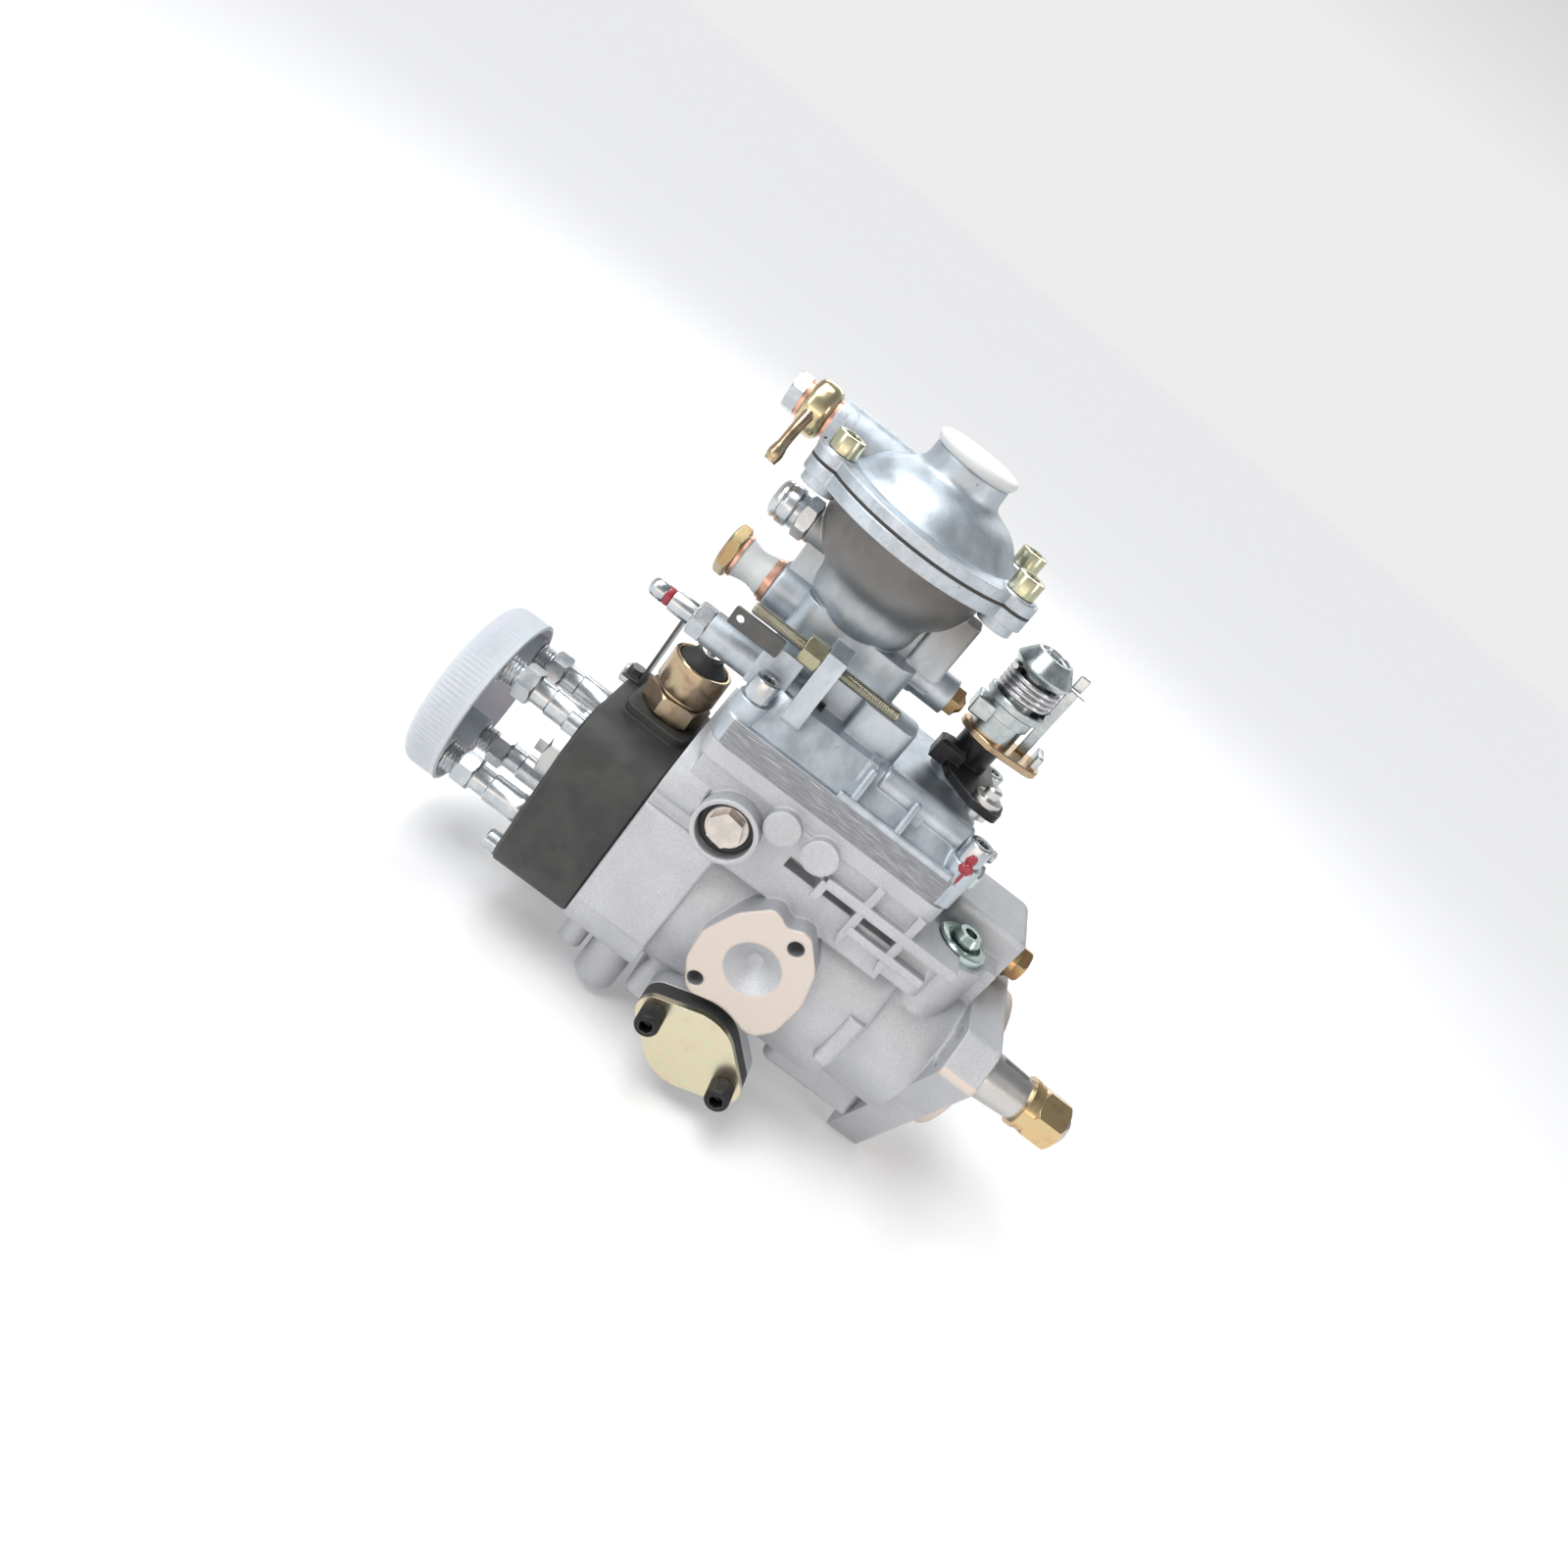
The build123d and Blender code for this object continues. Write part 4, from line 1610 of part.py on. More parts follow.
def lever_stud():
    return turned_z([
        (0, lever_z - 3), (stud_radius + 1.6, lever_z - 3), (stud_radius + 1.6, lever_z),
        (stud_radius, lever_z), (stud_radius, lever_z + lever_thick), (stud_radius + 2.6, lever_z + lever_thick),
        (stud_radius + 2.6, lever_z + lever_thick + 2.4), (stud_radius, lever_z + lever_thick + 3),
        (stud_radius, lever_z + 9.5), (stud_radius - 1, lever_z + 10.3), (0, lever_z + 10.3)], stud_x, stud_y)


def control_arm():
    """Upper arm reaching out to the front, with the sleeve and disc that carry the coil above it."""
    x, y = control_x, control_y
    z0 = arm_bottom_z
    outline = [(x - 12, y), (x - 8, y - 10), (x + 4, y - 12), (x + 22, y - 7), (x + 22, y + 6), (x + 5, y + 12), (x - 8, y + 10)]
    arm = plate_z(outline, z0, z0 + arm_thick, [6, 6, 6, 4, 4, 6, 6])
    arm += cyl_z(coil_radius - 2.6, z0 + arm_thick, coil_bottom_z - 3, x, y)
    arm += cyl_z(coil_radius + 0.6, coil_bottom_z - 3, coil_bottom_z, x, y)
    # square block that holds the coil's near end
    grip = block(x - sleeve_block_reach, x - 5, y - 9, y + 3, coil_bottom_z - 9, coil_bottom_z - 1)
    arm += chamfer(grip.edges().group_by(Axis.Z)[-1], 1.4)
    # bent ear that holds the coil's far end
    arm += block(x + 19, x + 22, y - 6, y + 5, z0, z0 + 9)
    return arm - cyl_z(control_radius, z0 - 1, coil_bottom_z + 1, x, y)


def control_cap():
    x, y = control_x, control_y
    z1 = coil_top_z + control_cap_height
    cap = turned_z([
        (control_radius, coil_top_z), (coil_radius + 0.3, coil_top_z), (coil_radius + 0.3, z1 - 2.5),
        (coil_radius - 1.2, z1 - 1.0), (8.0, z1), (6.6, z1 - 0.6), (6.6, z1 - 3), (control_radius, z1 - 3)], x, y)
    hub = cyl_z(7.0, coil_bottom_z, coil_top_z, x, y) - cyl_z(control_radius, coil_bottom_z - 1, coil_top_z + 1, x, y)
    return cap + hub


def control_nut():
    """Socket set nut sunk in the cap."""
    z1 = coil_top_z + control_cap_height
    nut = cyl_z(6.6, z1 - 3, z1 - 0.8, control_x, control_y)
    return nut - hex_z(7, z1 - 2.2, z1, control_x, control_y)


def control_springs():
    """Close-wound torsion coil under the cap."""
    return coil_z(coil_radius, coil_wire, coil_bottom_z, coil_top_z, coil_turns, control_x, control_y)


def lead_bracket():
    """Thin plate on the cast block beside the lug, with an eye just under the speed screw."""
    x1 = bracket_rear_x + bracket_length
    plate = plate_y([
        (bracket_rear_x, bracket_top_z), (x1, bracket_top_z), (x1, bracket_top_z - bracket_height),
        (bracket_rear_x, bracket_top_z - bracket_height)], lead_block_y - bracket_thick, lead_block_y, [1.0, 1.0, 1.0, 1.0])
    return plate - cyl_y(bracket_eye_radius, lead_block_y - 3, lead_block_y + 3, bracket_rear_x + 3.6,
                         bracket_top_z - bracket_height / 2)


def head_strip():
    """Upright strip on top of the distributor head, bent to a foot that a small screw holds."""
    y0, y1 = strip_y - strip_width / 2, strip_y + strip_width / 2
    outline = [
        (strip_x - strip_foot, head_half), (strip_x, head_half), (strip_x, strip_top_z),
        (strip_x + strip_lip, strip_top_z), (strip_x + strip_lip, strip_top_z + strip_thick),
        (strip_x - strip_thick, strip_top_z + strip_thick), (strip_x - strip_thick, head_half + strip_thick),
        (strip_x - strip_foot, head_half + strip_thick)]
    strip = plate_y(outline, y0, y1)
    return strip + hex_z(strip_screw_hex, head_half + strip_thick, head_half + strip_thick + 3.0,
                         strip_x - strip_foot + 3.8, strip_y, turn=10)


# Every node and the solids that make it up
nodes = {
    "pump_housing": [pump_housing],
    "distributor_head": [distributor_head],
    "plunger_barrel": [plunger_barrel],
    "head_screws": [head_screws],
    "head_center_plug": [head_center_plug],
    "valve_holders": [valve_holders],
    "delivery_valves": [delivery_valves],
    "shipping_cap": [shipping_cap],
    "solenoid_body": [solenoid_body],
    "solenoid_cap": [solenoid_cap],
    "solenoid_armature": [solenoid_armature],
    "side_plug": [side_plug],
    "governor_cover": [governor_cover],
    "cover_screws": [cover_screws],
    "boost_cover": [boost_cover],
    "boost_screws": [boost_screws],
    "boost_diaphragm": [diaphragm],
    "boost_pin": [boost_pin],
    "boost_dust_cap": [dust_cap],
    "boost_banjo": [boost_banjo],
    "boost_banjo_bolt": [boost_banjo_bolt],
    "boost_plug": [boost_plug],
    "return_bolt": [return_bolt],
    "return_spacer": [return_spacer],
    "sealing_washers": [sealing_washers],
    "full_load_screw": [full_load_screw, full_load_nut],
    "speed_screw": [speed_screw, speed_nut],
    "lead_bracket": [lead_bracket, head_strip],
    "rubber_seals": [shaft_seal, head_seal],
    "timing_piston": [timing_piston],
    "timing_covers": [timing_covers],
    "timing_spacer": [timing_spacer],
    "timing_screws": [timing_screws],
    "pressure_valve": [pressure_valve],
    "pressure_piston": [pressure_piston],
    "inlet_bolt": [inlet_bolt, inlet_washer],
    "feed_ring": [feed_ring, feed_plate],
    "feed_rotor": [feed_rotor, feed_vanes],
    "drive_shaft": [drive_shaft],
    "shaft_fasteners": [shaft_nut, shaft_washers],
    "drive_gear": [drive_gear],
    "flyweight_carrier": [flyweight_carrier],
    "flyweight_1": [lambda: flyweight(0)],
    "flyweight_2": [lambda: flyweight(1)],
    "flyweight_3": [lambda: flyweight(2)],
    "flyweight_4": [lambda: flyweight(3)],
    "guide_pins": [governor_shaft, spring_pins],
    "governor_sleeve": [governor_sleeve],
    "governor_lever": [governor_lever],
    "cam_plate": [cam_plate],
    "roller_ring": [roller_ring, cam_rollers],
    "plunger": [plunger],
    "spill_collar": [spill_collar],
    "spring_bridge": [spring_bridge],
    "control_shaft": [control_shaft, lever_stud],
    "control_lever": [control_lever],
    "control_arm": [control_arm, control_cap, control_nut],
    "control_springs": [control_springs],
    "boost_spring": [boost_spring],
    "internal_springs": [plunger_springs, timing_spring, pressure_spring],
}

for name, builders in nodes.items():
    solids = []
    for build in builders:
        made = build()
        solids += made if isinstance(made, list) else [made]
    export_step(Compound(children=solids) if len(solids) > 1 else solids[0], f"parts/{name}.step")
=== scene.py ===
import bpy
import math
import numpy as np
from mathutils import Matrix, Vector


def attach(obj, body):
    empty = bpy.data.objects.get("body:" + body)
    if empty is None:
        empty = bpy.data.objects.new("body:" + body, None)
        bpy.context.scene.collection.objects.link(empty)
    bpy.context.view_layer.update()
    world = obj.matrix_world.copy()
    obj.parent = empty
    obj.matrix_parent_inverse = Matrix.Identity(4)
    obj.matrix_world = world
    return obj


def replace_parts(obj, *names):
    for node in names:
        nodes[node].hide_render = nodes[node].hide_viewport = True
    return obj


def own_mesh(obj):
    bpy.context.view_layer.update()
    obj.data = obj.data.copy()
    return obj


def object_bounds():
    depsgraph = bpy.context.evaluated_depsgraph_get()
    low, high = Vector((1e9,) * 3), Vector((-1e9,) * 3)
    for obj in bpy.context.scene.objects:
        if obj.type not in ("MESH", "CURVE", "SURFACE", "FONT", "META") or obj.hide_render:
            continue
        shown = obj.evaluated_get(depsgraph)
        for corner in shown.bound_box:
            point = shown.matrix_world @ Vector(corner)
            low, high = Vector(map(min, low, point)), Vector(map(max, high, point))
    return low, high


# Rotary injection pump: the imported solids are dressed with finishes, and threads, springs, nuts,
# caps and trim are worked out here as surfaces. Lengths in the dictionaries are millimetres.
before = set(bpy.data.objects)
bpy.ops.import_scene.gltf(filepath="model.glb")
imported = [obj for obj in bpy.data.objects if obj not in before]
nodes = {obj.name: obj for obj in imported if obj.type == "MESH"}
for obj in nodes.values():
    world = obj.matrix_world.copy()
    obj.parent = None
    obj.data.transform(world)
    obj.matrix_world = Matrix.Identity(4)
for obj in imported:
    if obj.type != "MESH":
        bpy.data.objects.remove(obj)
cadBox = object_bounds()
print("frame loaded:", len(nodes), "nodes")

# camera at the photograph's angle; the picture is 1600 x 1600 and turned by the tilt, in degrees
camera = {
    "place": (-157.55, -437.80, 255.46), "forward": (0.0632, 0.9041, -0.4226),
    "right": (0.99796, -0.05352, 0.03479), "focalPixels": 1230.0, "picture": 1600.0, "tilt": 36.87,
    "sensor": 36.0, "clip": (0.01, 50.0)}


def added(name, data):  # a new object in the scene
    thing = bpy.data.objects.new(name, data)
    bpy.context.scene.collection.objects.link(thing)
    return thing


def placeCamera(view):
    lens = bpy.data.cameras.new("photoCamera")
    eye = added("photoCamera", lens)
    forward = Vector(view["forward"]).normalized()
    right = Vector(view["right"])
    right = (right - right.dot(forward) * forward).normalized()
    up = right.cross(forward)
    tilt = math.radians(view["tilt"])
    across = math.cos(tilt) * right + math.sin(tilt) * up
    upward = math.cos(tilt) * up - math.sin(tilt) * right
    turn = Matrix((across, upward, -forward)).transposed().to_4x4()
    eye.matrix_world = Matrix.Translation(Vector(view["place"]) / 1000) @ turn
    lens.sensor_width = view["sensor"]
    lens.lens = view["sensor"] * view["focalPixels"] / view["picture"]
    lens.clip_start, lens.clip_end = view["clip"]
    bpy.context.scene.camera = eye


placeCamera(camera)


class Wire:  # one output socket, so that shader maths reads as plain sums
    def __init__(self, finish, socket):
        self.finish = finish
        self.socket = socket

    def work(self, operation, first, second):
        return self.finish.node("ShaderNodeMath", {"operation": operation}, {0: first, 1: second})

    def __add__(self, other):
        return self.work("ADD", self, other)

    def __radd__(self, other):
        return self.work("ADD", other, self)

    def __sub__(self, other):
        return self.work("SUBTRACT", self, other)

    def __rsub__(self, other):
        return self.work("SUBTRACT", other, self)

    def __mul__(self, other):
        return self.work("MULTIPLY", self, other)

    def __rmul__(self, other):
        return self.work("MULTIPLY", other, self)

    def most(self, other):
        return self.work("MAXIMUM", self, other)

    def size(self):
        return self.work("ABSOLUTE", self, 0.0)


class Nodes:  # adds nodes to a shader tree
    def __init__(self, tree):
        self.tree = tree

    def node(self, kind, settings=None, values=None, output=0):
        made = self.tree.nodes.new(kind)
        for key, value in (settings or {}).items():
            if key == "stops":
                self.setStops(made.color_ramp, value)
            else:
                setattr(made, key, value)
        for key, value in (values or {}).items():
            self.feed(made.inputs[key], value)
        return Wire(self, made.outputs[output])

    def setStops(self, ramp, stops):
        while len(ramp.elements) < len(stops):
            ramp.elements.new(0.5)
        for element, (place, color) in zip(ramp.elements, stops):
            element.position = place
            element.color = (*color, 1.0)

    def feed(self, socket, value):
        if isinstance(value, Wire):
            self.tree.links.new(value.socket, socket)
        else:
            socket.default_value = value


class Finish(Nodes):  # a material with one surface shader, and the node calls that feed it
    def __init__(self, name, **fixed):
        self.material = bpy.data.materials.new(name)
        self.material.use_nodes = True
        super().__init__(self.material.node_tree)
        self.surface = self.tree.nodes["Principled BSDF"]
        self.spot = None
        for socket, value in {"IOR": 1.5, **fixed}.items():
            self.surface.inputs[socket.replace("_", " ")].default_value = value

    def coordinates(self):  # object coordinates in millimetres
        if self.spot is None:
            place = self.node("ShaderNodeTexCoord", output="Object")
            self.spot = self.node("ShaderNodeVectorMath", {"operation": "SCALE"}, {
                0: place, "Scale": 1000.0})
        return self.spot

    def axes(self):  # x, y and z of the object coordinates
        first = self.node("ShaderNodeSeparateXYZ", values={0: self.coordinates()})
        return [Wire(self, output) for output in first.socket.node.outputs]

    def stretched(self, scale, turn=(0.0, 0.0, 0.0)):  # coordinates that draw a pattern out into lines
        return self.node("ShaderNodeMapping", values={
            "Vector": self.coordinates(), "Scale": scale, "Rotation": turn})

    def grain(self, size, detail=3.0, roughness=0.55, spot=None):  # noise whose lumps are about size mm
        spot = self.coordinates() if spot is None else spot
        return self.node("ShaderNodeTexNoise", values={
            "Vector": spot, "Scale": 1.0 / size, "Detail": detail, "Roughness": roughness}, output="Fac")

    def step(self, value, low, high):  # 0 below low, 1 above high, smooth between
        return self.node("ShaderNodeMapRange", {"interpolation_type": "SMOOTHSTEP"}, {
            "Value": value, "From Min": low, "From Max": high})

    def blend(self, amount, first, second):  # colour between two colours
        return self.node("ShaderNodeMix", {"data_type": "RGBA"}, {0: amount, 6: first, 7: second}, output=2)

    def rounded(self, width):  # normal with the corners rounded over a width in mm
        return self.node("ShaderNodeBevel", {"samples": 4}, {"Radius": width / 1000})

    # 1 along corners, 0 on flats: how far the rounded normal leans from the true one
    def corners(self, width):
        flat = self.node("ShaderNodeNewGeometry", output="Normal")
        lean = self.node("ShaderNodeVectorMath", {"operation": "DOT_PRODUCT"}, {
            0: self.rounded(width), 1: flat}, "Value")
        return self.step(1.0 - lean, 0.02, 0.16)

    def relief(self, height, depth, width=None):  # bump of a depth in mm over rounded corners
        values = {"Height": height, "Strength": 1.0, "Distance": depth / 1000}
        if width is not None:
            values["Normal"] = self.rounded(width)
        self.feed(self.surface.inputs["Normal"], self.node("ShaderNodeBump", values=values))

    def show(self, **wires):
        for socket, value in wires.items():
            self.feed(self.surface.inputs[socket.replace("_", " ")], value)
        return self.material


def rgb(r, g, b):
    return (r, g, b, 1.0)


def dimmed(color, r, g, b):  # a colour whose three parts are scaled
    return rgb(color[0] * r, color[1] * g, color[2] * b)


# pale floor just under the lowest point, a sky that is pale low down and dimmer overhead, and a wide sun
studio = {
    "floorSize": 60000.0, "floorGap": 0.5, "floorColor": (0.84, 0.84, 0.845), "glow": (0.095, 0.095, 0.095),
    "low": (0.84, 0.84, 0.845), "middle": (0.46, 0.465, 0.47), "top": (0.26, 0.27, 0.285),
    "lowUpTo": 0.22, "middleAt": 0.42, "topFrom": 0.95, "strength": 1.0,
    "sun": 1.75, "sunAngle": 34.0, "sunFrom": (-0.55, -0.35, 1.0)}


def makeFloor(look):
    half = look["floorSize"] / 2000
    z = cadBox[0][2] - look["floorGap"] / 1000
    sheet = bpy.data.meshes.new("floor")
    corners = [(-half, -half, z), (half, -half, z), (half, half, z), (-half, half, z)]
    sheet.from_pydata(corners, [], [(0, 1, 2, 3)])
    floor = added("floor", sheet)
    f = Finish("studioFloor", IOR=1.2, Emission_Color=rgb(*look["glow"]), Emission_Strength=1.0)
    cloud = f.grain(120.0, 2.0)
    tone = f.blend(cloud, dimmed(look["floorColor"], 0.99, 0.99, 0.99), rgb(*look["floorColor"]))
    sheet.materials.append(f.show(Base_Color=tone, Roughness=0.85 + 0.1 * cloud))


def makeSky(look):
    world = bpy.data.worlds.new("studio")
    bpy.context.scene.world = world
    world.use_nodes = True
    sky = Nodes(world.node_tree)
    way = sky.node("ShaderNodeTexCoord", output="Generated")
    height = sky.node("ShaderNodeSeparateXYZ", values={0: way}, output=2)
    shade = sky.node("ShaderNodeValToRGB", {"stops": [
        (look["lowUpTo"], look["low"]), (look["middleAt"], look["middle"]), (look["topFrom"], look["top"])]},
        {0: height})
    back = world.node_tree.nodes["Background"]
    sky.feed(back.inputs["Color"], shade)
    back.inputs["Strength"].default_value = look["strength"]
    bpy.context.scene.view_settings.view_transform = "Standard"


def makeSun(look):
    sun = bpy.data.lights.new("windowSun", "SUN")
    sun.energy = look["sun"]
    sun.angle = math.radians(look["sunAngle"])
    lamp = added("windowSun", sun)
    lamp.matrix_world = (-Vector(look["sunFrom"])).to_track_quat("-Z", "Y").to_matrix().to_4x4()


# soft lamps: name, place, target and size in metres, power in watts, colour
coolLight, warmLight = (0.95, 0.98, 1.0), (1.0, 0.96, 0.92)
fieryLight, plainLight = (1.0, 0.80, 0.66), (1.0, 1.0, 1.0)
softLights = [
    ("topLight", (-0.45, 0.15, 1.0), (-0.1, 0.0, 0.08), (0.5, 0.35), 4.4, coolLight),
    ("leftLight", (-1.0, -0.75, 0.55), (-0.1, 0.0, 0.05), (0.35, 0.7), 3.2, coolLight),
    ("rightLight", (0.9, -0.55, 0.5), (-0.1, 0.0, 0.05), (0.16, 0.6), 2.2, warmLight),
    ("lowLight", (-0.15, -1.0, 0.12), (-0.1, 0.0, 0.05), (1.3, 0.16), 1.6, fieryLight),
    ("backLight", (-0.2, 1.1, 0.7), (-0.1, 0.0, 0.1), (0.9, 0.3), 3.0, plainLight)]


def softLight(name, place, target, size, power, tint):
    light = bpy.data.lights.new(name, "AREA")
    light.shape = "RECTANGLE"
    light.size, light.size_y = size
    light.energy = power
    light.color = tint
    lamp = added(name, light)
    turn = (Vector(target) - Vector(place)).to_track_quat("-Z", "Y").to_matrix().to_4x4()
    lamp.matrix_world = Matrix.Translation(Vector(place)) @ turn


makeFloor(studio)
makeSky(studio)
makeSun(studio)
for lamp in softLights:
    softLight(*lamp)
print("studio lit")

# blasted casting of the pump body: pale grain, soft corners, and cut faces on pad, flange and joint; the cut
# faces carry a painted warm table reflection
blastedLook = {
    "pale": rgb(0.58, 0.59, 0.61), "dull": rgb(0.50, 0.51, 0.53), "cut": rgb(0.66, 0.585, 0.525),
    "grainSize": 0.6, "cloudSize": 22.0, "cornerWidth": 1.6, "padFace": -51.9, "jointZ": 68.5}


def blastedAluminium(look):
    f = Finish("blastedAluminium")
    x, y, z = f.axes()
    fine = f.grain(look["grainSize"], 4.0, 0.7)
    speck = f.step(f.grain(0.8, 2.0, 0.6), 0.35, 0.7)
    cloud = f.grain(look["cloudSize"], 3.0)
    pits = f.step(f.grain(1.5, 2.0), 0.66, 0.76)
    stain = f.step(f.grain(26.0, 5.0, 0.62), 0.55, 0.72)
    pad = f.step(look["padFace"] - y, -0.05, 0.05)
    front = f.step(x, -0.2, -0.05)
    joint = f.step(z, look["jointZ"], look["jointZ"] + 0.3) * f.step(z, 69.6, 69.2)
    cut = pad.most(front)
    lines = f.grain(1.0, 2.0, 0.6, f.stretched((0.08, 1.0, 3.2), (0.0, 0.35, 0.0)))
    tone = f.blend(f.step(cloud, 0.3, 0.75), look["dull"], look["pale"])
    tone = f.blend(speck * 0.42, tone, rgb(0.38, 0.39, 0.41))
    tone = f.blend(pits * 0.3, tone, rgb(0.30, 0.31, 0.33))
    tone = f.blend(stain * 0.2, tone, rgb(0.40, 0.39, 0.39))
    tone = f.blend(f.corners(1.4) * 0.4, tone, rgb(0.86, 0.87, 0.88))
    # cut faces of pad and drive end: milled tone with a painted warm table reflection
    tone = f.blend(cut, tone, f.blend(lines * 0.3, look["cut"], rgb(0.56, 0.50, 0.46)))
    tone = f.blend(joint * 0.75, tone, rgb(0.16, 0.16, 0.16))
    rough = 0.44 + 0.18 * fine + 0.06 * cloud
    rough = rough * (1.0 - 0.25 * cut)
    f.relief((fine * (1.0 - 0.8 * cut) + lines * 0.15 * cut) - 0.4 * pits, 0.18, look["cornerWidth"])
    return f.show(Base_Color=tone, Roughness=rough, Metallic=0.8 + 0.1 * cut)


# smoother pressure casting of cover and capsule: satin, wavy skin, painted shade and a painted brown
# table reflection in the bowl under the capsule's flange, a milled band along its foot and a broken parting
# line round the capsule's rims
satinLook = {
    "light": rgb(0.53, 0.58, 0.625), "dark": rgb(0.395, 0.435, 0.47), "cornerWidth": 1.0,
    "bowl": rgb(0.26, 0.25, 0.235), "bowlDeep": rgb(0.10, 0.085, 0.07), "bowlZ": (118.0, 162.0),
    "bowlReach": 41.5, "capsule": (-145.5, 0.0, 45.0), "bandZ": (69.0, 80.0), "sideY": 43.5}


def satinAluminium(look, name, banded):
    f = Finish(name)
    x, y, z = f.axes()
    fine = f.grain(0.6, 3.0, 0.6)
    flow = f.grain(9.0, 4.0, 0.6, f.stretched((1.0, 1.0, 0.5)))
    wave = f.grain(16.0, 2.0, 0.5)
    nick = f.step(f.grain(3.2, 2.0, 0.7), 0.70, 0.76)
    tone = f.blend(f.step(flow, 0.32, 0.68), look["dark"], look["light"])
    cx, cy, reach = look["capsule"]
    away = (x - cx) * (x - cx) + (y - cy) * (y - cy)
    if banded:
        low, high = look["bowlZ"]
        # painted shade and a painted brown table reflection in the cover's bowl, darkest just under the
        # capsule's flange
        under = f.step(z, low, high - 14) * f.step(z, high, high - 1)
        near = f.step(away, look["bowlReach"] ** 2, (look["bowlReach"] - 3) ** 2)
        shade = f.blend(f.step(z, high - 26, high - 6), look["bowl"], look["bowlDeep"])
        tone = f.blend(under * near * (0.72 + 0.28 * wave), tone, shade)
    tone = f.blend(nick * 0.5, tone, rgb(0.14, 0.14, 0.15))
    tone = f.blend(f.corners(1.2) * 0.55, tone, rgb(0.86, 0.88, 0.90))
    height = fine * 0.35 + flow * 0.8 + wave * 1.6 - nick * 0.5
    rough = 0.33 + 0.14 * fine + 0.12 * flow
    rim = f.step(away, (reach - 3.5) ** 2, (reach - 1.0) ** 2) * f.step(z, 150.0, 154.0)
    crumble = f.grain(1.6, 4.0, 0.75, f.stretched((1.0, 1.0, 1.8)))
    tone = f.blend(rim * f.step(crumble, 0.52, 0.64) * 0.28, tone, rgb(0.22, 0.22, 0.23))
    height = height + rim * crumble * 1.8
    if banded:
        side = f.step(y.size(), look["sideY"], look["sideY"] + 0.2)
        low, high = look["bandZ"]
        milled = side * f.step(z, low, low + 0.2) * f.step(z, high, high - 0.4)
        scratch = f.grain(1.0, 3.0, 0.7, f.stretched((0.14, 1.0, 3.4), (0.0, -0.45, 0.0)))
        gouge = f.step(f.grain(1.0, 1.0, 0.5, f.stretched((0.06, 1.0, 2.8), (0.0, 0.35, 0.0))), 0.62, 0.66)
        cutTone = f.blend(f.step(scratch, 0.35, 0.65), rgb(0.20, 0.21, 0.225), rgb(0.36, 0.37, 0.385))
        cutTone = f.blend(gouge * 0.7, cutTone, rgb(0.66, 0.67, 0.68))
        tone = f.blend(milled, tone, cutTone)
        height = height * (1.0 - milled) + milled * (scratch * 0.9 + gouge * 0.6)
        rough = rough + milled * 0.12
    f.relief(height, 0.10, look["cornerWidth"])
    return f.show(Base_Color=tone, Roughness=rough, Metallic=0.92)


# dark hydraulic head: fine pressed texture, slightly worn corners
headLook = {
    "deep": rgb(0.038, 0.039, 0.038), "dusty": rgb(0.055, 0.055, 0.053), "worn": rgb(0.17, 0.17, 0.17)}


def darkHead(look):
    f = Finish("darkHead")
    fine = f.grain(0.45, 4.0, 0.7)
    cloud = f.grain(12.0, 3.0)
    specks = f.step(f.grain(0.9, 1.0), 0.74, 0.8)
    tone = f.blend(f.step(cloud, 0.35, 0.7), look["deep"], look["dusty"])
    tone = f.blend(f.corners(0.8) * 0.6, tone, look["worn"])
    tone = f.blend(specks * 0.4, tone, look["worn"])
    f.relief(fine, 0.07, 0.6)
    return f.show(Base_Color=tone, Roughness=0.5 + 0.16 * fine, Metallic=0.3)


# oiled black steel
def blackOxide(name="blackOxide", deep=(0.012, 0.012, 0.014), worn=(0.045, 0.046, 0.050)):
    f = Finish(name)
    fine = f.grain(0.6, 3.0)
    cloud = f.grain(5.0, 3.0)
    tone = f.blend(cloud, rgb(*deep), rgb(*worn))
    tone = f.blend(f.corners(0.4) * 0.6, tone, rgb(0.30, 0.30, 0.31))
    f.relief(fine, 0.03, 0.3)
    return f.show(Base_Color=tone, Roughness=0.26 + 0.22 * cloud, Metallic=0.8)


# bright plated steel, faint blue and straw clouds
def brightZinc(name="brightZinc", tint=(0.55, 0.565, 0.57)):
    f = Finish(name)
    cloud = f.grain(6.0, 2.0)
    fine = f.grain(0.35, 3.0)
    cool = dimmed(tint, 0.80, 0.84, 0.88)
    straw = f.step(f.grain(6.5, 2.0), 0.58, 0.72)
    tone = f.blend(f.step(cloud, 0.35, 0.65), cool, rgb(*tint))
    tone = f.blend(straw * 0.35, tone, dimmed(tint, 1.0, 0.88, 0.74))
    tone = f.blend(f.corners(0.5) * 0.5, tone, rgb(0.92, 0.92, 0.92))
    f.relief(fine, 0.008, 0.25)
    return f.show(Base_Color=tone, Roughness=0.19 + 0.16 * cloud, Metallic=1.0)


# yellow passivated zinc: straw with greenish and rosy clouds
def yellowZinc(name="yellowZinc", light=(0.66, 0.47, 0.25), spread=0.75):
    f = Finish(name)
    cloud = f.grain(7.0, 2.0)
    fine = f.grain(0.4, 3.0)
    r, g, b = light
    shimmer = f.node("ShaderNodeValToRGB", {"stops": [
        (0.25, (r * spread, g * spread, b * spread)), (0.45, light), (0.6, (r * 0.92, g * 1.03, b)),
        (0.78, (r, g * 0.88, b * 1.15))]}, {0: cloud})
    tone = f.blend(f.corners(0.5) * 0.45, shimmer, rgb(0.90, 0.83, 0.70))
    f.relief(fine, 0.008, 0.25)
    return f.show(Base_Color=tone, Roughness=0.15 + 0.16 * cloud, Metallic=1.0)


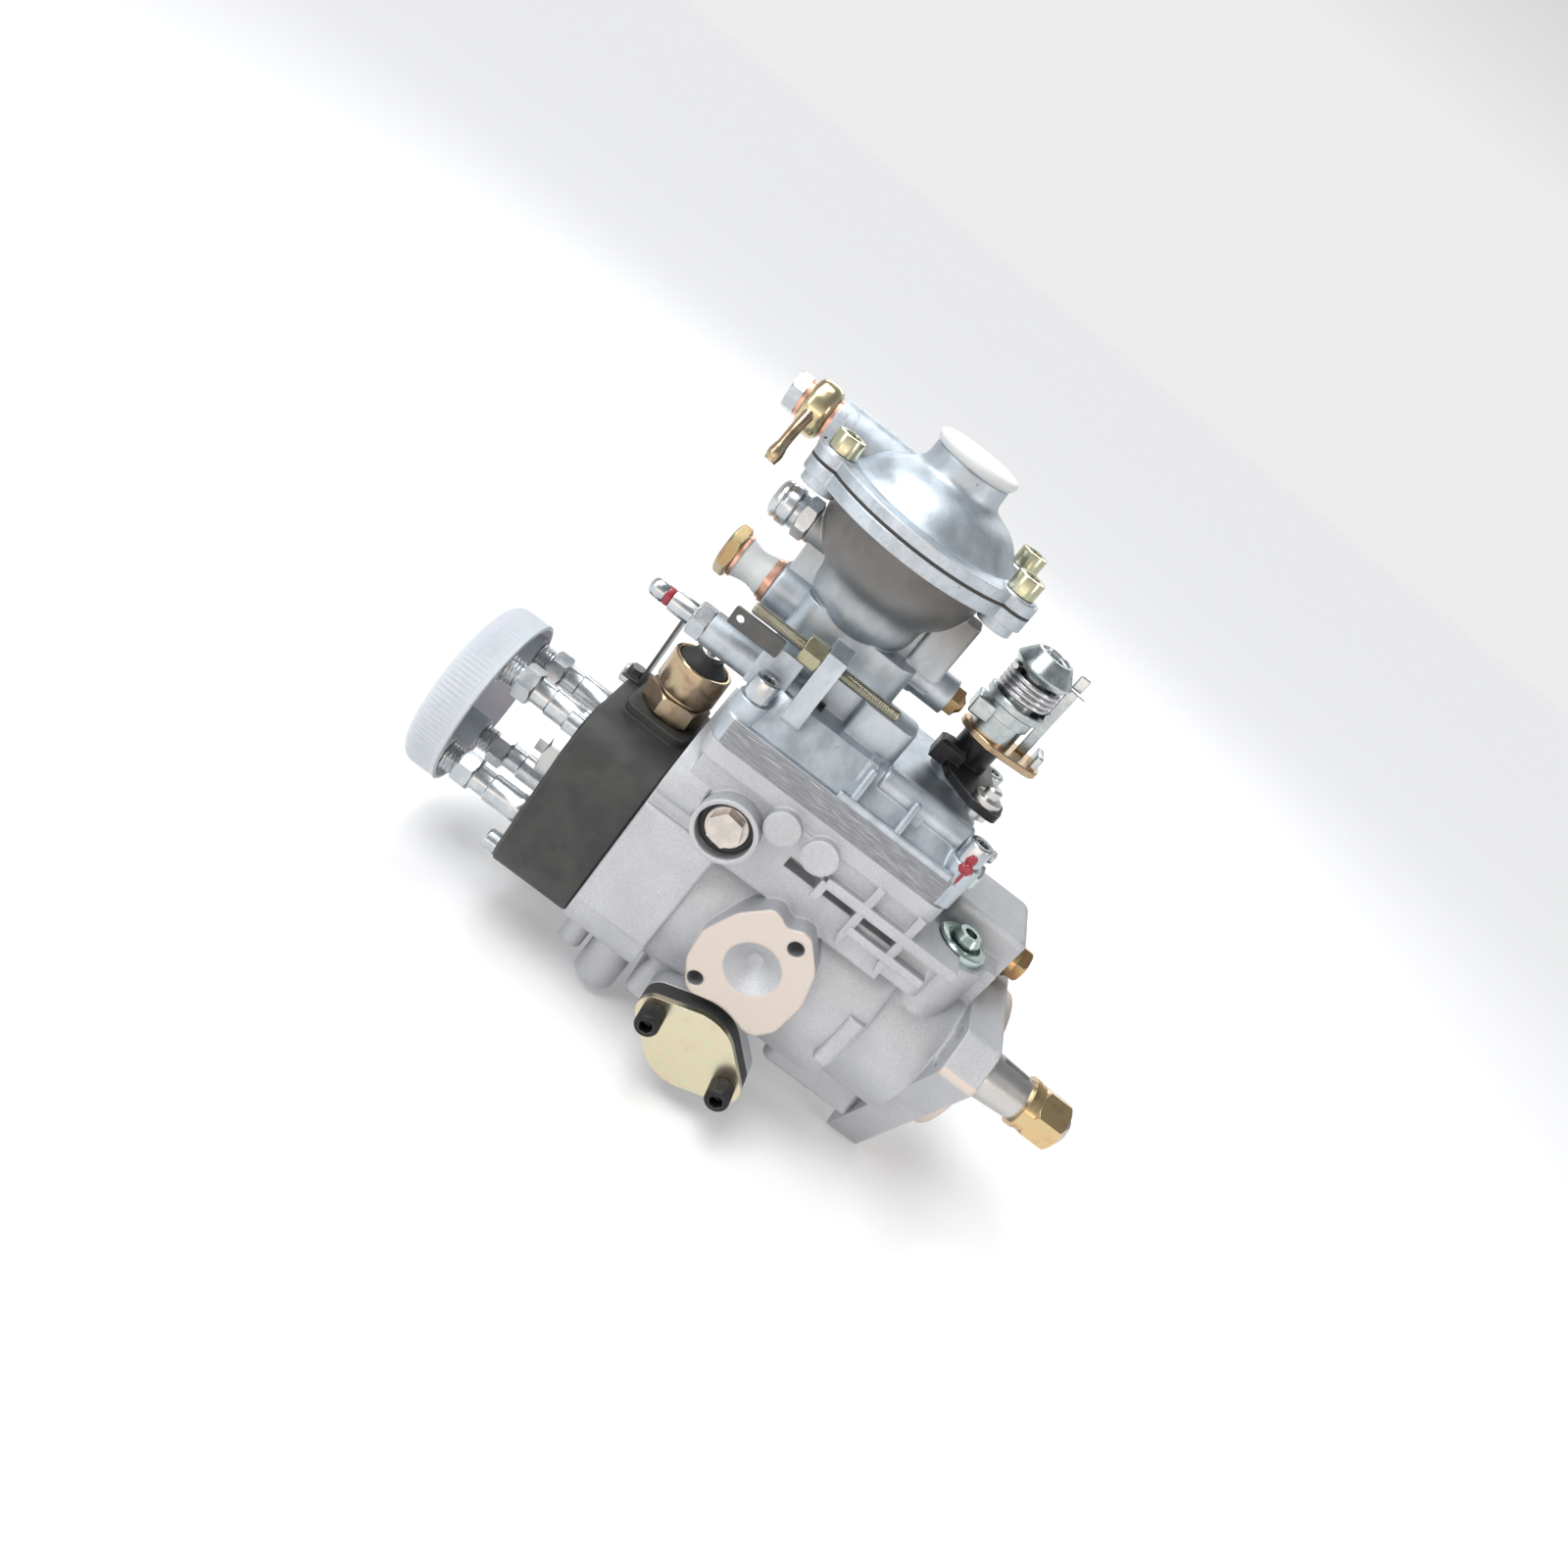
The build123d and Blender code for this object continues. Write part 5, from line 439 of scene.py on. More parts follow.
# control lever's arm and cap: yellow zinc up to a height, bright steel above it
armLook = {
    "split": 119.0, "low": rgb(0.50, 0.37, 0.24), "lowDeep": rgb(0.36, 0.26, 0.16),
    "high": rgb(0.50, 0.535, 0.53)}


def twoToneSteel(look):
    f = Finish("armSteel")
    z = f.axes()[2]
    cloud = f.grain(4.0, 3.0)
    fine = f.grain(0.4, 3.0)
    low = f.blend(cloud, look["lowDeep"], look["low"])
    high = f.blend(f.step(cloud, 0.3, 0.7), dimmed(look["high"], 0.72, 0.75, 0.78), look["high"])
    tone = f.blend(f.step(z, look["split"] - 0.2, look["split"] + 0.2), low, high)
    tone = f.blend(f.corners(0.5) * 0.5, tone, rgb(0.9, 0.89, 0.86))
    f.relief(fine, 0.02, 0.3)
    return f.show(Base_Color=tone, Roughness=0.17 + 0.2 * cloud, Metallic=1.0)


def freshCopper():
    f = Finish("freshCopper")
    cloud = f.grain(2.0, 3.0)
    tone = f.blend(cloud, rgb(0.60, 0.30, 0.20), rgb(0.88, 0.56, 0.44))
    f.relief(f.grain(0.4), 0.02, 0.2)
    return f.show(Base_Color=tone, Roughness=0.24 + 0.2 * cloud, Metallic=1.0)


# thin, slightly clear moulding
def milkyPlastic(name="milkyPlastic", shade=(0.80, 0.81, 0.81), clear=0.25):
    f = Finish(name, IOR=1.35, Subsurface_Weight=0.25, Subsurface_Scale=0.004, Transmission_Weight=clear)
    cloud = f.grain(7.0, 3.0)
    tone = f.blend(cloud, dimmed(shade, 0.93, 0.94, 0.96), rgb(*shade))
    f.relief(f.grain(1.6, 3.0), 0.03, 0.4)
    return f.show(Base_Color=tone, Roughness=0.36 + 0.12 * cloud)


def softRubber():
    f = Finish("softRubber")
    cloud = f.grain(3.0, 4.0)
    tone = f.blend(cloud, rgb(0.010, 0.010, 0.011), rgb(0.035, 0.035, 0.036))
    f.relief(f.grain(0.5), 0.04, 0.4)
    return f.show(Base_Color=tone, Roughness=0.42 + 0.25 * cloud)


def turnedSteel(tone):  # ground and turned steel with fine tool lines
    f = Finish("turnedSteel")
    lines = f.grain(1.0, 3.0, 0.7, f.stretched((5.0, 0.25, 0.25)))
    cloud = f.grain(6.0, 3.0)
    shade = f.blend(lines * 0.5, rgb(*tone), dimmed(tone, 0.72, 0.71, 0.7))
    shade = f.blend(f.corners(0.5) * 0.4, shade, rgb(0.85, 0.85, 0.85))
    f.relief(lines, 0.02, 0.3)
    return f.show(Base_Color=shade, Roughness=0.18 + 0.16 * cloud + 0.08 * lines, Metallic=1.0)


def springSteel():
    f = Finish("springSteel")
    cloud = f.grain(2.0, 3.0)
    tone = f.blend(cloud, rgb(0.30, 0.30, 0.32), rgb(0.68, 0.68, 0.69))
    f.relief(f.grain(0.3), 0.015)
    return f.show(Base_Color=tone, Roughness=0.18 + 0.18 * cloud, Metallic=1.0)


def paintDab(tone):
    f = Finish("sealPaint", Coat_Weight=0.4)
    cloud = f.grain(1.2, 3.0)
    f.relief(cloud, 0.1)
    shade = f.blend(cloud, dimmed(tone, 0.6, 1.0, 0.6), rgb(*tone))
    return f.show(Base_Color=shade, Roughness=0.3 + 0.1 * cloud)


blasted = blastedAluminium(blastedLook)
satin = satinAluminium(satinLook, "satinCover", True)
satinPlain = satinAluminium(satinLook, "satinCapsule", False)
black = darkHead(headLook)
oxide = blackOxide()
greySheet = blackOxide("greySheet", (0.07, 0.07, 0.068), (0.13, 0.13, 0.125))
zinc = brightZinc()
greenZinc = brightZinc("greenZinc", (0.54, 0.64, 0.59))
gold = yellowZinc()
darkGold = yellowZinc("darkGold", (0.37, 0.265, 0.14), 0.6)
threadGold = yellowZinc("threadGold", (0.33, 0.30, 0.235), 0.6)
unionGold = yellowZinc("unionGold", (0.60, 0.49, 0.31), 0.6)
oliveGold = yellowZinc("oliveGold", (0.44, 0.40, 0.26))
bronze = yellowZinc("bronzeZinc", (0.46, 0.34, 0.225), 0.6)
amber = yellowZinc("amberZinc", (0.56, 0.35, 0.17))
paleGold = yellowZinc("paleGold", (0.52, 0.475, 0.33), 0.45)
plateGold = yellowZinc("plateGold", (0.70, 0.61, 0.435), 0.9)
# side plug's zinc: a peach table reflection painted into its base colour
peachReflectionZinc = brightZinc("peachReflectionZinc", (0.66, 0.585, 0.52))
copper = freshCopper()
milky = milkyPlastic()
capPlastic = milkyPlastic("capPlastic", (0.70, 0.735, 0.775), 0.35)
rubber = softRubber()
steel = turnedSteel((0.60, 0.59, 0.575))
armSteel = twoToneSteel(armLook)
spring = springSteel()
redPaint = paintDab((0.34, 0.008, 0.03))
print("finishes made:", len(bpy.data.materials))

dressing = {
    blasted: ["pump_housing"],
    satin: ["governor_cover"],
    satinPlain: ["boost_cover"],
    black: ["distributor_head", "timing_spacer"],
    oxide: ["timing_screws", "control_lever"],
    greySheet: ["lead_bracket"],
    zinc: ["cover_screws", "valve_holders", "head_screws", "boost_plug", "boost_banjo_bolt",
           "full_load_screw"],
    peachReflectionZinc: ["side_plug"],
    greenZinc: ["pressure_valve"],
    bronze: ["solenoid_body"],
    armSteel: ["control_arm"],
    paleGold: ["boost_screws"],
    plateGold: ["timing_covers"],
    gold: ["shaft_fasteners"],
    unionGold: ["boost_banjo"],
    amber: ["inlet_bolt"],
    darkGold: ["return_bolt"],
    threadGold: ["speed_screw"],
    copper: ["sealing_washers"],
    milky: ["boost_dust_cap", "return_spacer"],
    capPlastic: ["shipping_cap"],
    rubber: ["rubber_seals", "boost_diaphragm", "solenoid_cap"],
    spring: ["control_springs", "boost_spring", "internal_springs"],
}
finishOf = {name: finish for finish, names in dressing.items() for name in names}
for name, node in nodes.items():  # everything else is ground or turned steel
    node.data.materials.clear()
    node.data.materials.append(finishOf.get(name, steel))
print("nodes dressed:", len(nodes))


# A closed skin over a grid of points in mm: each row is a ring round the piece, rows run along it,
# and a pole point shuts each end. Without poles the last row meets the first one instead.
def skin(name, grid, finish, body="housing", poles=None, crease=32.0):
    rows, columns = grid.shape[:2]
    row = np.arange(rows if poles is None else rows - 1)[:, None]
    column = np.arange(columns)[None, :]
    nextRow, nextColumn = (row + 1) % rows, (column + 1) % columns
    quads = np.stack([row * columns + column, row * columns + nextColumn,
                      nextRow * columns + nextColumn, nextRow * columns + column], -1)
    points = grid.reshape(-1, 3)
    faces = quads.reshape(-1, 4).tolist()
    if poles is not None:
        ring = np.arange(columns)
        nextRing = (ring + 1) % columns
        first, last = len(points), len(points) + 1
        points = np.concatenate([points, np.asarray(poles, float)])
        top = (rows - 1) * columns
        faces += np.stack([np.full(columns, first), nextRing, ring], -1).tolist()
        faces += np.stack([np.full(columns, last), top + ring, top + nextRing], -1).tolist()
    mesh = bpy.data.meshes.new(name)
    mesh.from_pydata((points / 1000).tolist(), [], faces)
    mesh.polygons.foreach_set("use_smooth", np.ones(len(mesh.polygons), bool))
    mesh.set_sharp_from_angle(angle=math.radians(crease))
    mesh.materials.append(finish)
    piece = added(name, mesh)
    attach(piece, body)
    return piece


def around(columns):  # angles of one turn
    return np.arange(columns) * 2 * math.pi / columns


# Rings about the z axis. Each row is (height, radius, how far it is a hexagon, limit radius):
# a hexagon's reach is half its width across the flats over cos(angle from the nearest flat), and the
# limit cuts its corners, which leaves the round chamfer of a nut.
def rings(rows, columns=96):
    table = np.array([tuple(r) + (0.0, 1e6)[len(r) - 2:] for r in rows], float)
    angle = around(columns)[None, :]
    reach = 1 / np.cos(np.mod(angle, math.pi / 3) - math.pi / 6)
    radius = table[:, 1:2] * (1 + table[:, 2:3] * (reach - 1))
    radius = np.minimum(radius, table[:, 3:4])
    height = np.broadcast_to(table[:, 0:1], radius.shape)
    return np.stack([radius * np.cos(angle), radius * np.sin(angle), height], -1)


# hexagon with round chamfers: the limit radius grows from a share of the half width by a slope
hexagon = {"limitShare": 0.95, "slope": 1.7, "depthShare": 0.205, "steps": 7}


def hexRows(low, high, width):
    half = width / 2
    climb = np.linspace(0, half * hexagon["depthShare"] / hexagon["slope"], hexagon["steps"])
    limit = half * hexagon["limitShare"] + hexagon["slope"] * climb
    below = [(low + c, half, 1.0, r) for c, r in zip(climb, limit)]
    above = [(high - c, half, 1.0, r) for c, r in zip(climb, limit)]
    return below + above[::-1]


def nutRows(low, high, width, bore):  # hexagon with a plain bore, as a ring of rows
    return [(low, bore)] + hexRows(low, high, width) + [(high, bore)]


# Thread rings: the radius falls from the crest by depth times a power of a triangle wave of
# (height / pitch - turn); the thread runs out into its root over a share of the pitch at both ends
threadLook = {"power": 0.8, "runOut": 0.6}


def threadRings(low, high, crest, depth, pitch, columns, steps):
    height = np.linspace(low, high, max(3, int((high - low) / pitch * steps)))[:, None]
    angle = around(columns)[None, :]
    wave = np.abs(2 * np.mod(height / pitch - angle / (2 * math.pi), 1.0) - 1)
    run = np.clip(np.minimum(height - low, high - height) / (threadLook["runOut"] * pitch), 0, 1)
    radius = crest - depth * (1 - run * (1 - wave ** threadLook["power"]))
    height = np.broadcast_to(height, radius.shape)
    return np.stack([radius * np.cos(angle), radius * np.sin(angle), height], -1)


# Turns a shape whose own axis is z so that it runs toward a direction, then moves it to its foot
def stand(grid, foot, toward, turn=0.0):
    w = np.array(toward, float)
    w = w / np.linalg.norm(w)
    side = np.array([0.0, 1.0, 0.0]) if abs(w[1]) < 0.9 else np.array([0.0, 0.0, 1.0])
    u = np.cross(side, w)
    u = u / np.linalg.norm(u)
    v = np.cross(w, u)
    c, s = math.cos(math.radians(turn)), math.sin(math.radians(turn))
    across = c * u + s * v
    along = c * v - s * u
    return grid[..., 0:1] * across + grid[..., 1:2] * along + grid[..., 2:3] * w + np.array(foot, float)


# A piece of rings about an axis: its rows, or rings already made, stand at a foot and point along a way.
# Ends are the heights of the two poles that shut it; without them the last ring meets the first. It may
# replace a node.
def turned(name, rows, foot, toward, finish, slot, ends=None, node=None, turn=0.0, columns=96,
           crease=32.0, body="housing"):
    grid = rings(rows, columns) if isinstance(rows, list) else rows
    poles = None if ends is None else stand(np.array([[0.0, 0.0, end] for end in ends]), foot, toward)
    piece = skin(name, stand(grid, foot, toward, turn), finish, body, poles, crease)
    if node:
        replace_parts(piece, node)


# A round wire carried along a path: each ring stands across the path, at the wire's radius
def wireAlong(path, radius, columns):
    path = np.asarray(path, float)
    ahead = np.gradient(path, axis=0)
    ahead /= np.linalg.norm(ahead, axis=1, keepdims=True)
    side = np.cross(ahead, np.array([0.0, 0.0, 1.0]))
    side /= np.linalg.norm(side, axis=1, keepdims=True)
    up = np.cross(side, ahead)
    angle = around(columns)[None, :, None]
    return path[:, None, :] + radius * (np.cos(angle) * side[:, None, :] - np.sin(angle) * up[:, None, :])


def wirePiece(name, path, radius, columns, body):  # rings run backwards, so that faces point outwards
    grid = wireAlong(path, radius, columns)[::-1]
    return skin(name, grid, spring, body, (path[-1], path[0]))


# A helix that climbs evenly from low to high: angle is start plus share times all the turns
def helix(d):
    share = np.linspace(0, 1, d["points"])
    angle = d["start"] + share * d["turns"] * 2 * math.pi
    x, y = d["centre"]
    height = d["low"] + d["wire"] + share * (d["high"] - d["low"] - 2 * d["wire"])
    return np.stack([x + d["radius"] * np.cos(angle), y + d["radius"] * np.sin(angle), height], -1)


# Block with rounded edges about the origin: each direction over a sphere picks a corner of the inner box by
# its signs and adds the rounding radius that way
def roundedBlock(size, radius):
    half = np.array(size, float) / 2 - radius
    columns = 40
    turn = (np.arange(columns) + 0.5) * 2 * math.pi / columns
    tilt = np.linspace(-math.pi / 2, math.pi / 2, 22)[1:-1][:, None]
    way = np.stack([np.cos(tilt) * np.cos(turn), np.cos(tilt) * np.sin(turn),
                    np.sin(tilt) + 0 * turn], -1)
    return np.sign(way) * half + way * radius


def block(name, place, size, radius, finish, body="housing"):
    x, y, z = place
    poles = np.array([[x, y, z - size[2] / 2], [x, y, z + size[2] / 2]])
    return skin(name, roundedBlock(size, radius) + np.array(place), finish, body, poles)


# Plate across z with a convex outline: each direction takes the arc centre that reaches furthest that way,
# plus the corner radius; the faces' edges step inwards by the bevel, and then by the rim
def roundedPlate(centres, radius, low, high, bevel, rim):
    centres = np.array(centres, float)
    middle = centres.mean(axis=0)
    turn = around(120)
    way = np.stack([np.cos(turn), np.sin(turn)], -1)
    outline = centres[np.argmax(way @ centres.T, axis=1)] + radius * way
    rows = []
    for height, inset in ((low, bevel + rim), (low, bevel), (low + bevel, 0.0),
                          (high - bevel, 0.0), (high, bevel), (high, bevel + rim)):
        ring = outline - inset * way
        rows.append(np.concatenate([ring, np.full((len(ring), 1), height)], 1))
    return np.array(rows), (np.array([*middle, low]), np.array([*middle, high]))


def onCircle(count, circle, start):  # evenly spaced places (y, z) round the shaft's axis
    angles = [math.radians(start + 360 * k / count) for k in range(count)]
    return [(circle * math.cos(a), circle * math.sin(a)) for a in angles]


outward, rearward, upward = (1, 0, 0), (-1, 0, 0), (0, 0, 1)  # along the shaft, back to the outlets, up


# A thread between two plain runs of rows; the thread is its start, end, crest radius, depth and pitch
def threaded(below, thread, above, columns=96, steps=8):
    runs = [rings(below, columns), threadRings(*thread, columns, steps)]
    if above:
        runs.append(rings(above, columns))
    return np.concatenate(runs)


def makeStack(pieces, **shared):  # turned pieces, with the values that they share
    for piece in pieces:
        turned(**shared, **piece)


# speed screw and its nut in the cover's lug
speedScrew = {"foot": (-177.0, -30.0, 113.0), "toward": outward, "slot": "yellow_zinc", "pieces": [
    {"name": "speedScrewRod", "finish": threadGold, "node": "speed_screw", "ends": (0.0, 65.0),
     "crease": 60.0, "rows": threaded(
        [(0.0, 1.7), (0.4, 2.1)], (0.4, 64.6, 2.6, 0.55, 1.0), [(64.7, 2.1), (65.0, 1.7)], 48, 6)},
    {"name": "speedScrewNut", "finish": oliveGold, "node": "speed_screw", "turn": 22.0,
     "rows": nutRows(22.5, 31.0, 10.0, 2.3)}]}
makeStack(**speedScrew)

# full-load screw: rounded tip, paint ring, collar, bright locknut
fullLoad = {"foot": (-213.0, -20.0, 92.5), "toward": outward, "slot": "bright_zinc", "pieces": [
    {"name": "fullLoadTip", "finish": zinc, "node": "full_load_screw", "ends": (0.0, 26.6),
     "columns": 64, "rows": [
        (0.0, 1.2), (0.25, 2.2), (0.8, 3.0), (1.8, 3.6), (3.0, 3.85), (6.4, 3.9), (6.9, 3.6), (7.2, 3.2),
        (9.6, 3.2), (9.9, 4.3), (11.0, 4.5), (19.4, 4.5), (19.5, 4.0), (26.6, 4.0)]},
    {"name": "fullLoadPaint", "finish": redPaint, "columns": 64, "rows": [
        (6.9, 3.0), (7.1, 3.75), (8.2, 3.85), (9.3, 3.7), (9.7, 3.0)]},
    {"name": "fullLoadNut", "finish": zinc, "node": "full_load_screw", "turn": 20.0,
     "rows": nutRows(19.5, 26.5, 13.0, 3.9)}]}
makeStack(**fullLoad)

# outlet fittings: stepped neck with a collar, waist, hexagon, pipe thread and a coned bore
outlets = {
    "circle": 31.0, "start": 32.5, "count": 4, "headFace": -203.0, "buried": 10.0, "neck": 6.2,
    "collar": 0.25, "collarFrom": 0.2, "collarTo": 3.8, "ease": 0.4, "waist": 5.5, "stepAt": 17.0,
    "hexFrom": 24.0, "hexTo": 32.0, "hexWidth": 14.0, "root": 5.4, "thread": (32.2, 41.4, 6.1, 0.75, 1.5),
    "mouth": [(41.7, 5.3), (42.0, 4.6), (41.8, 4.0), (38.5, 2.0)], "boreEnd": 30.0,
    "firstTurn": 15.0, "nextTurn": 25.0}


def makeOutlets(d):
    neck, wide, waist, ease = d["neck"], d["neck"] + d["collar"], d["waist"], d["ease"]
    low, high, knee = d["collarFrom"], d["collarTo"], d["hexFrom"]
    rows = [(-d["buried"], neck), (low, neck), (low + ease, wide), (high - ease, wide), (high, neck),
            (d["stepAt"] - 0.6, neck), (d["stepAt"], waist), (knee - 0.8, waist), (knee, waist + ease)]
    rows += hexRows(knee, d["hexTo"], d["hexWidth"]) + [(d["hexTo"], d["root"])]
    grid = threaded(rows, d["thread"], d["mouth"])
    for k, (y, z) in enumerate(onCircle(d["count"], d["circle"], d["start"])):
        turned("outletFitting%d" % (k + 1), grid, (d["headFace"], y, z), rearward, zinc, "bright_zinc",
               (-d["buried"], d["boreEnd"]), "valve_holders", turn=d["firstTurn"] + d["nextTurn"] * k)


makeOutlets(outlets)

# return bolt and its waisted spacer: the spacer's radius falls by the waist times a power of half a sine
returnStack = {
    "bolt": (-194.5, 0.0, 115.0), "boltTurn": 5.0, "boltTop": 6.0,
    "boltRows": [(0.0, 9.0)] + hexRows(0.0, 5.6, 19.0) + [(5.75, 8.4), (6.0, 7.6), (6.0, 3.0)],
    "spacer": (-193.0, 0.0, 115.0), "length": 12.0, "radius": 8.3, "waist": 1.15, "power": 1.2, "bore": 6.3}


def makeReturn(d):
    turned("returnBoltHead", d["boltRows"], d["bolt"], rearward, darkGold, "yellow_zinc",
           (0.0, d["boltTop"]), "return_bolt", turn=d["boltTurn"])
    height = np.linspace(0, d["length"], 25)
    waist = d["radius"] - d["waist"] * np.sin(np.pi * height / d["length"]) ** d["power"]
    sleeve = [(0.0, d["bore"])] + list(zip(height, waist)) + [(d["length"], d["bore"])]
    turned("returnSpacerBody", sleeve, d["spacer"], outward, milky, "white_plastic",
           node="return_spacer", columns=64)


makeReturn(returnStack)

# domed bright plug under the capsule's arm
domedPlug = {
    "name": "domedPlug", "foot": (-178.5, 0.0, 142.0), "toward": rearward, "finish": zinc,
    "slot": "bright_zinc", "node": "boost_plug", "turn": 10.0, "ends": (0.2, 18.0),
    "rows": [(0.2, 6.6)] + hexRows(0.2, 6.2, 15.0) + [
        (6.3, 7.0), (8.2, 7.0), (8.5, 7.6), (9.2, 8.1), (12.5, 8.15), (13.1, 7.9), (13.2, 7.4), (14.0, 7.4),
        (14.4, 7.9), (15.6, 7.7), (16.8, 6.9), (17.6, 5.6), (17.95, 3.8), (18.0, 2.0)]}
turned(**domedPlug)

# stop solenoid: hexagon and can with a rolled lip, rubber boot, threaded terminal
solenoid = {"foot": (-181.0, 0.0, 46.0), "toward": upward, "pieces": [
    {"name": "solenoidCan", "finish": bronze, "slot": "yellow_zinc", "node": "solenoid_body", "turn": 12.0,
     "ends": (0.0, 23.0), "rows": [(0.0, 11.0)] + hexRows(0.0, 10.0, 24.0) + [
        (10.0, 11.2), (11.2, 11.2), (11.6, 12.7), (12.0, 12.9), (24.6, 12.9), (25.1, 12.75), (25.5, 12.2),
        (25.5, 11.3), (25.0, 10.9), (23.0, 10.8)]},
    {"name": "solenoidBoot", "finish": rubber, "slot": "black_rubber", "node": "solenoid_cap", "columns": 64,
     "ends": (23.1, 30.4), "rows": [
        (23.1, 10.7), (24.9, 10.6), (25.7, 10.2), (26.1, 9.4), (28.3, 7.0), (28.7, 6.6), (30.1, 6.2),
        (30.4, 5.8), (30.4, 5.0)]},
    {"name": "solenoidTerminal", "finish": zinc, "slot": "bright_zinc", "ends": (29.5, 32.9),
     "rows": threaded([(29.5, 4.6), (31.1, 4.6), (31.2, 3.0)], (31.3, 32.9, 2.2, 0.3, 0.7), [], 48)}]}
makeStack(**solenoid)

# control lever's torsion coil, with straight legs turned out at both ends
coil = {
    "centre": (-77.0, 8.0), "low": 135.6, "high": 147.3, "radius": 10.2, "wire": 1.15, "turns": 4.4,
    "start": 0.6, "points": 300, "leg": (2.45, 7.0)}


def makeCoil(d):
    ring = helix(d)
    leg = np.linspace(*d["leg"], 6)[:, None]
    away = ring[-1] - ring[-2]
    back = ring[0] - ring[1]
    path = np.concatenate([(ring[0] + leg * back / np.linalg.norm(back))[::-1], ring,
                           ring[-1] + leg * away / np.linalg.norm(away)])
    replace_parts(wirePiece("controlCoil", path, d["wire"], 20, "control"), "control_springs")


makeCoil(coil)

# capsule's spring: one fixed coil, on a mesh of its own
boostCoil = {
    "centre": (-145.5, 0.0), "low": 128.0, "high": 165.0, "radius": 14.4, "wire": 1.1, "turns": 7.0,
    "start": 0.0, "points": 340, "keep": 0.88}


def makeBoostCoil(d):
    piece = wirePiece("boostCoil", helix(d), d["wire"], 16, "housing")
    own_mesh(piece)
    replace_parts(piece, "boost_spring")


makeBoostCoil(boostCoil)

# white shipping cap with fine ribs outside and a cup for each outlet inside
shippingCap = {
    "place": (-241.0, 0.0, 0.0), "radius": 39.4, "depth": 17.4, "wall": 1.4, "round": 6.0,
    "ribs": 110, "ribHeight": 0.28, "ribFrom": 2.5, "ripple": 0.12, "rippleRate": 1.6,
    "cupCircle": 31.0, "cupStart": 32.5, "cups": 4, "cupBore": 6.35, "cupWall": 1.2, "cupTop": 12.4}


# The shell's rows are a beaded rim, a ribbed wall, a quarter circle and a flat end; the ribs are a cosine
# round the wall that fades out along it, and the flat end has faint rings, a sine of the radius
def shippingCapRows(d, angle):
    depth, radius, wall, bow = d["depth"], d["radius"], d["wall"], d["round"]
    bend = np.linspace(0, math.pi / 2, 9)
    wallHeight = np.concatenate([[0.0, 0.3, 1.6, 2.0, 2.3], np.linspace(3, depth - bow - 1, 4),
                                 depth - bow + bow * np.sin(bend)])
    wallRadius = np.concatenate([[radius - wall, radius - 0.1, radius, radius - 0.1, radius - 0.5],
                                 np.full(4, radius - 0.5), radius - bow - 0.5 + bow * np.cos(bend)])
    rib = np.clip(wallHeight - d["ribFrom"], 0, 1) * np.clip((depth - 1.2 - wallHeight) / 2.0, 0, 1)
    wallRing = wallRadius[:, None] + rib[:, None] * d["ribHeight"] * np.cos(angle * d["ribs"])
    flat = np.linspace(radius - bow - 2, 2.0, 14)
    flatRing = np.broadcast_to(flat[:, None], (len(flat), angle.shape[1]))
    height = np.concatenate([wallHeight, depth - 0.02 + d["ripple"] * np.sin(flat * d["rippleRate"])])
    innerHeight = np.array([depth - wall, depth - wall, depth - 3.0, 6.0, 0.0])
    innerRadius = np.array([2.0, radius - 10, radius - wall - 1.5, radius - wall - 0.6, radius - wall - 0.3])
    innerRing = np.broadcast_to(innerRadius[:, None], (len(innerRadius), angle.shape[1]))
    return np.concatenate([innerHeight, height])[:, None], np.concatenate([innerRing, wallRing, flatRing])


def makeShippingCap(d):
    angle = around(d["ribs"] * 4)[None, :]
    height, radius = shippingCapRows(d, angle)
    shell = np.stack([radius * np.cos(angle), radius * np.sin(angle),
                      np.broadcast_to(height, radius.shape)], -1)
    turned("shippingCapShell", shell, d["place"], rearward, capPlastic, "white_plastic",
           (d["depth"] - d["wall"], d["depth"] - 0.02), "shipping_cap", body="cap")
    bore, outer, top = d["cupBore"], d["cupBore"] + d["cupWall"], d["cupTop"]
    cup = [(top, bore), (0.9, bore), (0.6, bore + 0.3), (0.6, outer - 0.2), (0.9, outer), (top, outer)]
    for k, (y, z) in enumerate(onCircle(d["cups"], d["cupCircle"], d["cupStart"])):
        turned("shippingCapCup%d" % (k + 1), cup, (d["place"][0], y, z), rearward, capPlastic,
               "white_plastic", node="shipping_cap", columns=48, body="cap")


makeShippingCap(shippingCap)

# white dust cap: a flat crown with a rolled rim
dustCap = {
    "name": "dustCapCrown", "foot": (-145.5, 0.0, 190.0), "toward": upward, "finish": milky,
    "slot": "white_plastic", "node": "boost_dust_cap", "body": "dust_cap", "ends": (5.4, 8.25),
    "crease": 50.0, "rows": [
        (5.4, 14.95), (4.0, 15.0), (3.75, 15.3), (3.9, 15.8), (4.6, 16.3), (5.4, 16.7), (6.2, 16.95),
        (7.0, 16.85), (7.6, 16.4), (7.95, 15.7), (8.1, 14.0), (8.2, 9.0), (8.25, 4.0), (8.25, 1.0)]}
turned(**dustCap)

